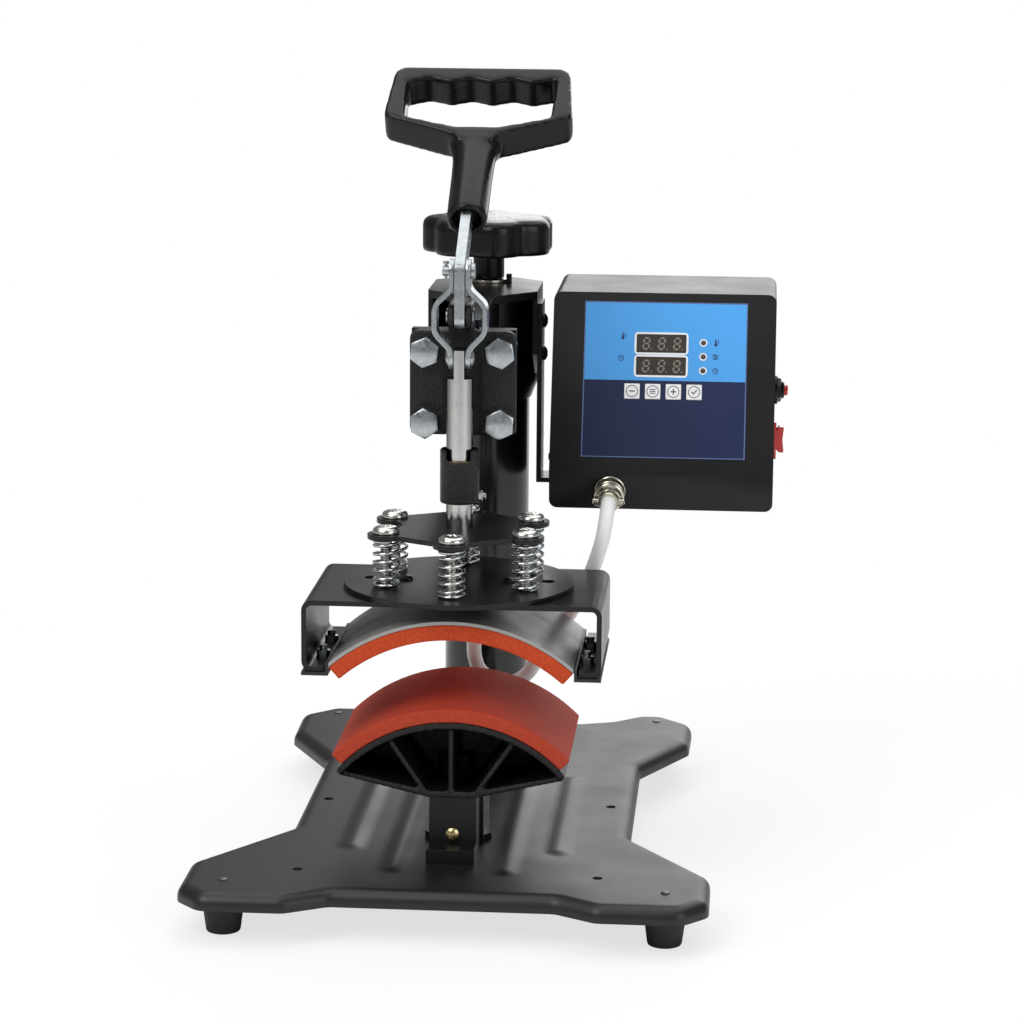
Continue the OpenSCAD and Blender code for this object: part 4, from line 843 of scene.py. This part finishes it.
class PRESS_OT_base(bpy.types.Operator):
    """Pressed base plate with a rolled rim, stamped ribs, feet and their screws"""

    bl_idname = "cap_press.base"
    bl_label = "Base plate and feet"

    def execute(self, context):
        rim = context.scene.press_sizes.rim / MM
        corners = rounded(BASE_HALF + [(-x, y) for x, y in reversed(BASE_HALF)], 12, 7)
        outline = [tuple(p) for p in dense([*corners, corners[0]], 4.5)]
        points, edges = [], []
        rings = (0, 0.25, 0.8, 1.7, 2.9, 4.4, 6.0, rim, rim + 2.2)
        n = len(outline)
        normals = []
        for i in range(n):
            way = (Vector(outline[(i + 1) % n]) - Vector(outline[i - 1])).normalized()
            normals.append(Vector((-way.y, way.x)))
        for d in rings:
            first = len(points)
            points += [Vector(p) + m * d for p, m in zip(outline, normals)]
            edges += [(first + i, first + (i + 1) % n) for i in range(n)]
        holes = [(s * x, y, r) for x, y, r in BASE_HOLES for s in (-1, 1)]
        for x, y, r in holes:
            for radius in (r, r + 1.2):
                first, sides = len(points), 20
                points += [Vector(p) for p in circle(x, y, radius, sides)]
                edges += [(first + i, first + (i + 1) % sides) for i in range(sides)]
        shell = [Vector(p) for p in outline]
        for gx in range(-150, 151, 3):
            for gy in range(-216, 208, 3):
                fine = min(self.to_rib(gx, gy, r) for r in self.ribs()) < 13
                if not fine and (gx % 6 or gy % 6):
                    continue
                p = Vector((gx + 0.01, gy + 0.013))
                if self.depth_in(p, shell) > rim + 4 and all((p - Vector(h[:2])).length > h[2] + 2.5 for h in holes):
                    points.append(p)
        flat, _, tris, *_ = geometry.delaunay_2d_cdt(points, edges, [list(range(n))], 1, 1e-5)
        verts = []
        for p in flat:
            inside = min(rim, max(0, self.depth_in(p, shell)))
            drop = rim - sqrt(max(0, rim * rim - (rim - inside) ** 2))
            lift = max(RIB_H * max(0, cos(min(1, self.to_rib(p.x, p.y, r) / RIB_SPREAD) * pi) * 0.5 + 0.5)
                       for r in self.ribs())
            verts.append((p.x, p.y, BASE_TOP - drop + lift))
        kept = []
        for t in tris:
            middle = sum((flat[i] for i in t), Vector((0, 0))) / len(t)
            if all((middle - Vector(h[:2])).length > h[2] * 0.98 for h in holes):
                kept.append(tuple(t))
        shape = Shape().add(verts, kept)
        top = [min(range(len(flat)), key=lambda i, q=q: (flat[i] - q).length) for q in shell]
        first = len(shape.verts)
        shape.verts += [Vector((p.x, p.y, BASE_TOP - RIM_DEPTH)) for p in shell]
        shape.faces += [(first + i, first + (i + 1) % n, top[(i + 1) % n], top[i]) for i in range(n)]
        piece = shape.make("pressed_base", "base_paint", sharp=40)
        modify(piece, "SOLIDIFY", thickness=2.6 * MM, offset=-1)
        baked(piece)
        piece.data.set_sharp_from_angle(angle=radians(40))
        settle(piece, "base_paint", "base", ("base_plate",))

        feet = Shape()
        for x, y in FEET:
            feet.lathe([(4.0, 1.6), (4.2, 0.4), (8.8, 0.0), (9.6, 0.35), (10.05, 1.2), (12.3, 18.2), (12.1, 19.1),
                        (11.4, 19.4), (8, 19.4), (8, 27.4), (2.5, 27.4), (2.5, 6)], at(x, y, 0))
        feet.make("rubber_feet", "black_rubber", "base", ("feet",), sharp=50)
        screws = Shape()
        profile = [(2.4, 9), (2.4, 29.6), (2.55, 30.5), (2.4, 31.0), (1.6, 31.3), (0.01, 31.35)]
        for x, y in FEET:
            screws.lathe(profile, at(x, y, 0), 28)
        screws.make("foot_screw_set", "dull_zinc", "base", ("foot_screws",), "zinc_steel")
        return {"FINISHED"}

    def ribs(self):
        return [(s * x, y0, y1) for x, y0, y1 in RIBS for s in (-1, 1)]

    def to_rib(self, x, y, rib):
        along = max(rib[1], min(rib[2], y))
        return hypot(x - rib[0], y - along)

    def depth_in(self, p, shell):
        """Distance from a point to the outline, negative outside."""
        nearest, inside, n = 1e9, False, len(shell)
        for i in range(n):
            a, b = shell[i - 1], shell[i]
            way = b - a
            t = max(0.0, min(1.0, (p - a).dot(way) / way.length_squared))
            nearest = min(nearest, (p - a - way * t).length_squared)
            if (a.y > p.y) != (b.y > p.y) and p.x < (b.x - a.x) * (p.y - a.y) / (b.y - a.y) + a.x:
                inside = not inside
        return sqrt(nearest) if inside else -sqrt(nearest)


class PRESS_OT_castings(bpy.types.Operator):
    """Cast saddle and clamp, the post, the column and the head"""

    bl_idname = "cap_press.castings"
    bl_label = "Castings, column and head"

    def execute(self, context):
        softened("saddle_casting", "lower_platen", "black_cast", "base", 0.9, 3)
        softened("clamp_casting", "clamp_plate", "black_cast", "head", 0.75, 4)
        dress("black_paint", 0.8, "support_post", "head_bracket", "controller_strap")
        dress("gloss_black_paint", 0.6, "column_tube")
        dress("post_screw", 0.3, "post_screw")
        dress("zinc_steel", 0.3, "platen_bolt", "lead_nut", "oil_nipple")
        dress("black_paint", 0.3, "stop_stud", "strap_screws")
        dress("bronze", 0.2, "guide_bush")
        return {"FINISHED"}


class PRESS_OT_bolts(bpy.types.Operator):
    """Hexagon bolts and nuts with chamfered heads and washers"""

    bl_idname = "cap_press.bolts"
    bl_label = "Bolts and nuts"

    def execute(self, context):
        bolts = Shape()
        for i, (x, z) in enumerate((x, z) for x in (-BOLT_X, BOLT_X) for z in BOLT_Z):
            turn = (4, -7, -3, 9)[i]
            bolts.hex_head(16, 6.4, at(x, CLAMP_FRONT, z, (0, -1, 0), turn))
            bolts.lathe([(0.01, 6.2), (3.4, 6.2), (3.7, 6.44), (4.0, 6.2)], at(x, CLAMP_FRONT, z, (0, -1, 0)), 32)
            bolts.lathe([(5, 0), (5, 23)], at(x, CLAMP_FRONT, z, (0, 1, 0)), 32)
            bolts.hex_head(16, 6, at(x, CLAMP_FRONT + 15, z, (0, 1, 0), turn))
        bolts.make("clamp_bolt_set", "zinc_steel", "head", ("clamp_bolts",))
        studs = Shape()
        for s in (-1, 1):
            for y in (AXIS_Y + 12, AXIS_Y - 25):
                studs.lathe([(2.5, 0), (2.5, 11.4), (2.0, 12)], at(s * STUD_X, y, 143), 24)
                studs.hex_head(7, 4, at(s * STUD_X, y, 148, turn=30))
        studs.make("bracket_stud_set", "zinc_steel", "platen", ("bracket_studs",))
        tacks = Shape()
        for s in (-1, 1):
            tacks.lathe([(3.9, 0), (3.9, 0.8), (3.4, 1.7), (2.2, 2.3), (0.01, 2.5)],
                        at(s * 30.2 - 0.8, AXIS_Y - 2, DISC_Z), 32)
        tacks.make("disc_tack_screws", "black_paint", "platen")
        return {"FINISHED"}


class PRESS_OT_toggle(bpy.types.Operator):
    """Lever bar, bowed links, pins and the ground plunger rod"""

    bl_idname = "cap_press.toggle"
    bl_label = "Toggle and plunger"

    def execute(self, context):
        dress("zinc_steel", 0.6, "lever_bar")
        dress("zinc_steel", 0.35, "pivot_pin", "link_pin", "tongue_pin", "split_pin")
        dress("bright_steel", 0.4, "plunger_rod")
        for name, side in (("left", -1), ("right", 1)):
            self.strap(side).make(f"link_strap_{name}", "zinc_steel", "links", (f"link_{name}",), sharp=40)
        rivets = Shape()
        head = [(3.0, -0.3), (5.0, 0), (5.0, 0.7), (4.3, 1.5), (2.6, 2.1), (0.01, 2.3)]
        for side in (-1, 1):
            rivets.lathe(head, at(side * (LINK_IN + LINK_T), AXIS_Y, LINK_LOW, (side, 0, 0)), 36)
        rivets.make("link_rivets", "zinc_steel", "links")
        return {"FINISHED"}

    def strap(self, side):
        """A strap of even thickness that bows out between its two eyes."""
        mid_in, mid_out = LINK_IN + LINK_T / 2, LINK_BOW + LINK_T / 2
        knots = [(mid_in, LINK_LOW - LINK_HALF), (mid_in, LINK_LOW + 4.6), (mid_out, LINK_LOW + 15.0),
                 (mid_out, LINK_TOP - 20.0), (mid_in, LINK_TOP - 10.6), (mid_in, LINK_TOP + LINK_HALF)]
        path = []
        for i, (x, z) in enumerate(knots):
            b = Vector((x, z))
            if 0 < i < len(knots) - 1:
                a, c = Vector(knots[i - 1]), Vector(knots[i + 1])
                u, v = (a - b).normalized() * 3.6, (c - b).normalized() * 3.6
                path += [(b + u) * (1 - t) ** 2 + b * 2 * t * (1 - t) + (b + v) * t * t
                         for t in (k / 6 for k in range(7))]
            else:
                path.append(b)
        full = dense(path, 1.0) + path[-1:]
        rings = []
        for i, p in enumerate(full):
            way = (full[min(i + 1, len(full) - 1)] - full[max(i - 1, 0)]).normalized()
            out = Vector((way.y, -way.x))
            over = max(0, LINK_LOW - p.y, p.y - LINK_TOP)
            half = max(0.8, sqrt(max(0, LINK_HALF ** 2 - over ** 2)))
            ring = []
            for w, t in ((-1, -0.7), (-0.94, -1), (0.94, -1), (1, -0.7), (1, 0.7), (0.94, 1), (-0.94, 1), (-1, 0.7)):
                q = p + out * t * LINK_T / 2
                ring.append((side * q.x, AXIS_Y + w * half, q.y))
            rings.append(ring)
        return Shape().rings(rings)


class PRESS_OT_handle(bpy.types.Operator):
    """Moulded D handle with finger waves"""

    bl_idname = "cap_press.handle"
    bl_label = "Handle"

    def reach(self, outline, a, centre=(0, 150)):
        """Where the ray at an angle from the opening's middle leaves an outline; y is turned for the plate."""
        way, best = Vector((cos(a), sin(a))), None
        for p, q in zip(outline, outline[1:] + outline[:1]):
            start, side = Vector(p) - Vector(centre), Vector(q) - Vector(p)
            cross = way.x * side.y - way.y * side.x
            if abs(cross) > 1e-9:
                t = (start.x * side.y - start.y * side.x) / cross
                u = (start.x * way.y - start.y * way.x) / cross
                if t > 0 and -1e-6 <= u <= 1 + 1e-6:
                    best = t if best is None else max(best, t)
        return centre[0] + way.x * best, centre[1] + way.y * best

    def execute(self, context):
        half = [(12.3, 112), (13.5, 117), (57.5, 134.5), (57.7, 141.5), (54.5, 183.5)]
        outer = rounded([(x, z) for x, z in half] + [(-x, z) for x, z in half[::-1]], 7, 8)
        waves = [(46 - 92 * i / 40, 171.2 + 1.8 * sin(radians(360 * 3.6 * i / 40 + 70))) for i in range(41)]
        inner = [(-44.5, 134.5), (-14, 125), (14, 125), (44.5, 134.5)] + waves
        handle, angles = Shape(), around(320)
        ring_plate(handle, [self.reach(outer, a) for a in angles], [self.reach(inner, a) for a in angles],
                   -10.5, 10.5, LEVER @ Matrix.Rotation(pi / 2, 4, "X"))
        stem = [(0.01, 0.01, 54), (8, 8, 53.5), (8.2, 8.2, 45.6), (10.6, 10.6, 44.6), (12.2, 12.2, 46.2),
                (12.4, 12.2, 60), (12.6, 11.6, 85), (13.2, 11, 104), (16, 10.4, 118), (21, 9.6, 125), (8, 4, 128)]
        loops = [[(rx * cos(a), ry * sin(a), z) for a in around(64)] for rx, ry, z in stem]
        handle.rings(loops, LEVER)
        piece = handle.make("handle_moulding", "handle_plastic", "lever", ("handle_grip",), "black_plastic")
        melted(piece, 1, 40)
        return {"FINISHED"}


class PRESS_OT_knob(bpy.types.Operator):
    """Moulded star knob, its washer and the lead screw"""

    bl_idname = "cap_press.knob"
    bl_label = "Knob"

    def execute(self, context):
        knob, place = Shape(), Matrix.Translation((0, COLUMN_Y, 0))
        profile = [(0.01, 362.5), (41, 362.5), (42.3, 363.2), (KNOB_R, 364.5), (KNOB_R, 379.5), (42.1, 381.8),
                   (40.9, 383.6), (38.6, 384.9), (30, 385.7), (15, 386), (0.01, 386.1)]

        def lobes(a, z):
            return (KNOB_VALLEY_R + 6.6 * sqrt(cos(KNOB_LOBES / 2 * (a - pi)) ** 2 + 0.02)) / KNOB_R
        knob.lathe(profile, place, 210, lobes)
        knob.lathe([(0.01, 345.4), (10, 345.4), (10, 363), (0.01, 363.2)], place, 48)
        piece = knob.make("knob_moulding", "black_plastic", "knob", ("star_knob",))
        melted(piece, 1, 5)
        dress("nickel", 0.4, "knob_washer")
        dress("bright_steel", 0.3, "lead_screw")
        return {"FINISHED"}


class PRESS_OT_platen(bpy.types.Operator):
    """Spider, pressure disc, bracket and the grey heater shell"""

    bl_idname = "cap_press.platen"
    bl_label = "Sprung platen"

    def execute(self, context):
        dress("black_paint", 0.9, "spider_plate")
        dress("black_paint", 0.6, "pressure_disc", "u_bracket")
        screws = Shape()
        span = SPIDER_Z + 3 - DISC_Z
        grooves = [THREAD_PITCH * k for k in range(int(span / THREAD_PITCH))]
        thread = [point for z in grooves for point in ((3.5, z + 0.4), (3.0, z + 0.9))]
        for i, (x, y) in enumerate(spring_places()):
            screws.lathe([(2.6, -6.1), (3.0, -5.7), (3.0, 0)] + thread + [(3.4, span - 1), (3.4, span)],
                         at(x, y, DISC_Z), 24)
            self.cross_head(screws, at(x, y, SPIDER_Z + 3, turn=17 + 47 * i))
        screws.make("spring_screw_set", "yellow_zinc", "platen", ("spring_screws",), sharp=40)
        dress("grey_aluminium", 0.35, "heater_shell")
        dress("laminated_steel", 0.1, "heater_element")
        return {"FINISHED"}

    def cross_head(self, shape, place):
        """Flattened pan head with a cross recess."""
        side = [(7.4, 0), (7.75, 0.25), (7.9, 0.9), (7.9, 1.6), (7.6, 2.6), (6.9, 3.4), (5.9, 3.95), (5.0, 4.2)]
        rings = [[polar(r, a, z) for a in around(72)] for r, z in side]
        for k in range(1, 20):
            r = 5.0 - 0.26 * k
            ring = []
            for a in around(72):
                x, y = polar(r, a)
                off = min(abs(x), abs(y))
                depth = min(1.6, max(0, (0.85 - off) * 4)) * min(1, max(0, (3.3 - r) * 2))
                ring.append((x, y, 4.2 + 0.3 * (1 - (r / 5) ** 2) - depth))
            rings.append(ring)
        shape.rings(rings, place)


class PRESS_OT_case(bpy.types.Operator):
    """Controller case, its back, inlet and the parts inside"""

    bl_idname = "cap_press.case"
    bl_label = "Controller case"

    def execute(self, context):
        dress("case_paint", 1.3, "controller_case")
        dress("case_paint", 0.5, "case_back")
        dress("panel_film", 0.08, "panel_overlay")
        dress("black_plastic", 0.6, "mains_inlet")
        dress("green_board", 0.2, "circuit_board")
        dress("laminated_steel", 0.6, "transformer")
        dress("blue_plastic", 0.6, "relay")
        pins = Shape()
        x, y, z = INLET
        for a in (90, 210, 330):
            px, pz = polar(2.2, radians(a))
            pins.lathe([(0.75, 0), (0.75, 16), (0.4, 16.8)], at(x + px, y - 6, z + pz, (0, 1, 0)), 16)
        pins.make("inlet_pins", "nickel", "head")
        return {"FINISHED"}


class PRESS_OT_panel(bpy.types.Operator):
    """Displays with unlit digits, lamps, square keys and plain symbols"""

    bl_idname = "cap_press.panel"
    bl_label = "Control panel"

    SEGMENTS = {"a": (0, 3.1, 0), "g": (0, 0, 0), "d": (0, -3.1, 0), "b": (1.75, 1.55, 90), "c": (1.75, -1.55, 90),
                "f": (-1.75, 1.55, 90), "e": (-1.75, -1.55, 90)}

    def execute(self, context):
        dress("smoked_plastic", 0.1, "display_temp", "display_time")
        frames, digits = Shape(), Shape()
        slant = Matrix(((1, 0.12, 0, 0), (0, 1, 0, 0), (0, 0, 1, 0), (0, 0, 0, 1)))
        for s in DISPLAY_S:
            ring_plate(frames, rectangle(DISPLAY_X, s, 33.4, 14.0, 2.4, 5), rectangle(DISPLAY_X, s, 30.9, 11.6, 0.9, 5),
                       0.38, 0.52, PANEL)
            for place in (-9.3, 0.2, 9.7):
                for x, y, turn in self.SEGMENTS.values():
                    long, thick = (1.45, 0.52) if turn == 0 else (1.3, 0.52)
                    bar = [(-long, 0), (-long + thick, thick), (long - thick, thick), (long, 0),
                           (long - thick, -thick), (-long + thick, -thick)]
                    spot = (on_panel(DISPLAY_X + place, s) @ slant
                            @ Matrix.Translation((x, y * 1.12, 0)) @ Matrix.Rotation(radians(turn), 4, "Z"))
                    digits.prism(bar[::-1], 0.15, 0.26, spot)
                digits.prism(circle(3.2, -3.5, 0.45, 12)[::-1], 0.15, 0.26, on_panel(DISPLAY_X + place, s))
        frames.make("display_frames", "print_white", "head", slot="white_plastic")
        digits.make("display_digits", "segment", "head", slot="smoked_plastic")

        lamps, rims = Shape(), Shape()
        for s in LAMP_S:
            ring_plate(rims, circle(LAMP_X, s, 2.45, 28), circle(LAMP_X, s, 1.65, 28), 0.38, 0.6, PANEL)
            lamps.lathe([(1.55, 0), (1.5, 0.5), (1.1, 0.85), (0.5, 1.05), (0.01, 1.1)], on_panel(LAMP_X, s), 24)
        rims.make("lamp_rims", "print_white", "head", slot="white_plastic")
        lamps.make("lamp_lenses", "smoked_plastic", "head", ("indicator_leds",))

        marks = Shape()
        for x, s, kind in ((90, 85.2, "heat"), (89.1, 71.3, "clock"), (147.6, 81.7, "heat"), (147.6, 72.9, "set"),
                           (147.6, 64.1, "clock")):
            self.mark(marks, x, s, kind, 0.42)
        marks.make("panel_marks", "print_dark", "head", slot="panel_film")
        for key, x in KEYS.items():
            dress("white_plastic", 0.45, f"key_{key}")
            sign = Shape()
            ring_plate(sign, circle(x, KEY_S, 3.75, 36), circle(x, KEY_S, 3.3, 36), 1.15, 1.26, PANEL)
            self.symbol(sign, x, KEY_S, key)
            sign.make(f"symbol_{key}", "print_dark", f"{key}_key", slot="white_plastic")
        return {"FINISHED"}

    def bar(self, shape, x, y, w, h, z0, turn=0):
        shape.prism(rectangle(0, 0, w, h, min(w, h) * 0.35, 2), z0, z0 + PRINT, on_panel(x, y, turn))

    def mark(self, shape, x, y, kind, z):
        if kind == "heat":
            self.bar(shape, x, y + 0.5, 0.9, 3.2, z)
            shape.prism(circle(x, y - 1.2, 0.95, 16), z, z + PRINT, PANEL)
            for k in (-0.3, 0.6, 1.5):
                self.bar(shape, x + 1.5, y + k, 1.1, 0.4, z)
        elif kind == "clock":
            ring_plate(shape, circle(x, y, 1.75, 24), circle(x, y, 1.35, 24), z, z + PRINT, PANEL)
            self.bar(shape, x, y + 0.5, 0.35, 1.2, z)
            self.bar(shape, x + 0.4, y, 1.0, 0.35, z)
        else:
            for k, shift in ((1.2, -0.6), (0, 0.7), (-1.2, -0.1)):
                self.bar(shape, x, y + k, 3.6, 0.35, z)
                shape.prism(circle(x + shift, y + k, 0.55, 12), z, z + 0.11, PANEL)

    def symbol(self, shape, x, y, key):
        top = 1.16
        if key in ("minus", "plus"):
            self.bar(shape, x, y, 3.8, 0.7, top)
        if key == "plus":
            self.bar(shape, x, y, 3.8, 0.7, top, 90)
        if key == "mode":
            for k in (-1.15, 0, 1.15):
                self.bar(shape, x, y + k, 3.6, 0.55, top)
        if key == "ok":
            self.bar(shape, x - 1.05, y - 0.45, 2.0, 0.65, top, -45)
            self.bar(shape, x + 0.6, y + 0.05, 3.6, 0.65, top, 52)


class PRESS_OT_connector(bpy.types.Operator):
    """Nickel socket, knurled coupling ring and cable clamp"""

    bl_idname = "cap_press.connector"
    bl_label = "Cable connector"

    def execute(self, context):
        socket = Shape().lathe([(5.6, 3), (5.6, 9.4), (6.9, 9.6), (6.9, 2.0), (8.9, 2.0), (9.5, 1.6), (9.5, 0.0),
                                (7.0, 0.0), (7.0, -11.0), (5.6, -11.3)], LOWER_FACE, 56)
        socket.hex_head(17, 2.3, LOWER_FACE @ Matrix.Translation((0, 0, -5.5)))
        socket.make("panel_socket", "nickel", "head", ("cable_socket",), edge=0.12)

        def knurl(angle, z):
            return 1 + (0.022 * cos(36 * angle) if 3.4 < z < 8.4 else 0)
        plug = Shape().lathe([(7.15, 2.2), (8.6, 2.2), (9.15, 2.9), (9.15, 3.5), (9.15, 8.3), (9.15, 8.9), (8.7, 9.4),
                              (8.2, 9.6), (8.2, 10.2), (8.9, 10.5), (9.1, 10.9), (9.1, 12.6), (8.6, 13.1),
                              (7.9, 13.4), (7.4, 15.0), (7.2, 17.0), (6.7, 17.2), (6.6, 22.4), (6.2, 23.0),
                              (4.6, 23.0), (4.6, 12.0), (7.1, 9.0)], LOWER_FACE, 144, knurl)
        for s in (-1, 1):
            pad, screw = (LOWER_FACE @ at(s * x, 0, 19.7, (s, 0, 0)) for x in (6.2, 8.6))
            plug.prism(rectangle(0, 0, 4.6, 7.2, 1.2), 0, 2.4, pad)
            plug.lathe([(1.7, 0), (1.7, 0.9), (1.2, 1.3), (0.01, 1.4)], screw, 20)
        plug.make("cable_coupling", "nickel", "head", ("cable_plug",), sharp=30)
        return {"FINISHED"}


class PRESS_OT_switches(bpy.types.Operator):
    """Breaker with its reset button, and the mains rocker"""

    bl_idname = "cap_press.switches"
    bl_label = "Breaker and rocker"

    def execute(self, context):
        neck = Shape()
        side = at(CASE_FAR, SIDE_Y, BREAKER_Z, (1, 0, 0))
        neck.lathe([(6, -18), (6, -0.1), (9, 0), (9, 1.4), (8.4, 2.0), (5.2, 2.0)]
                   + [(5.0 if k % 2 else 5.45, 2.3 + 0.45 * k) for k in range(8)] + [(4.7, 6.0), (3.6, 6.0), (3.6, 4)],
                   side, 48)
        neck.hex_head(13, 2.2, side @ Matrix.Translation((0, 0, 2.0)))
        neck.make("breaker_neck", "black_plastic", "head", ("breaker_body",))
        button = Shape().lathe([(3.3, -0.0), (3.4, 1.6), (3.1, 2.1), (2.2, 2.35), (0.01, 2.4)],
                               at(CASE_FAR + 6, SIDE_Y, BREAKER_Z, (1, 0, 0)), 36)
        button.make("reset_cap", "red_plastic", "reset_button", ("breaker_button",))
        dress("red_plastic", 0.5, "rocker_frame")
        paddle = [(-2, -2.2), (3.2, -7.9), (5.9, -8.3), (6.4, -7.4), (5.8, -2), (5.6, 0), (5.8, 2), (6.4, 7.4),
                  (5.9, 8.3), (3.2, 7.9), (-2, 2.2)]
        rocker = Shape().prism(paddle, -4.7, 4.7, Matrix.Translation((CASE_FAR, SIDE_Y, ROCKER_Z))
                               @ Matrix.Rotation(pi / 2, 4, "X"))
        rocker.make("rocker_paddle", "red_plastic", "power_switch", ("power_rocker",), edge=0.5)
        return {"FINISHED"}


STEPS = (PRESS_OT_stage, PRESS_OT_cable, PRESS_OT_springs, PRESS_OT_pads, PRESS_OT_base, PRESS_OT_castings,
         PRESS_OT_bolts, PRESS_OT_toggle, PRESS_OT_handle, PRESS_OT_knob, PRESS_OT_platen, PRESS_OT_case,
         PRESS_OT_panel, PRESS_OT_connector, PRESS_OT_switches)


class PRESS_PT_sidebar(bpy.types.Panel):
    """Lists the sizes, the colours and the pieces"""

    bl_idname = "PRESS_PT_sidebar"
    bl_label = "Cap heat press"
    bl_space_type = "VIEW_3D"
    bl_region_type = "UI"
    bl_category = "Cap press"

    def draw(self, context):
        for group in (context.scene.press_sizes, context.scene.press_colours):
            for key in group.bl_rna.properties.keys():
                if key not in ("rna_type", "name"):
                    self.layout.prop(group, key)
        for step in STEPS:
            self.layout.operator(step.bl_idname)


CLASSES = (PressSizes, PressColours, *STEPS, PRESS_PT_sidebar)


def register():
    for c in CLASSES:
        bpy.utils.register_class(c)
    bpy.types.Scene.press_sizes = PointerProperty(type=PressSizes)
    bpy.types.Scene.press_colours = PointerProperty(type=PressColours)


def unregister():
    del bpy.types.Scene.press_colours
    del bpy.types.Scene.press_sizes
    for c in reversed(CLASSES):
        bpy.utils.unregister_class(c)


def main():
    register()
    for step in STEPS:
        group, name = step.bl_idname.split(".")
        getattr(getattr(bpy.ops, group), name)()


if __name__ == "__main__":
    main()
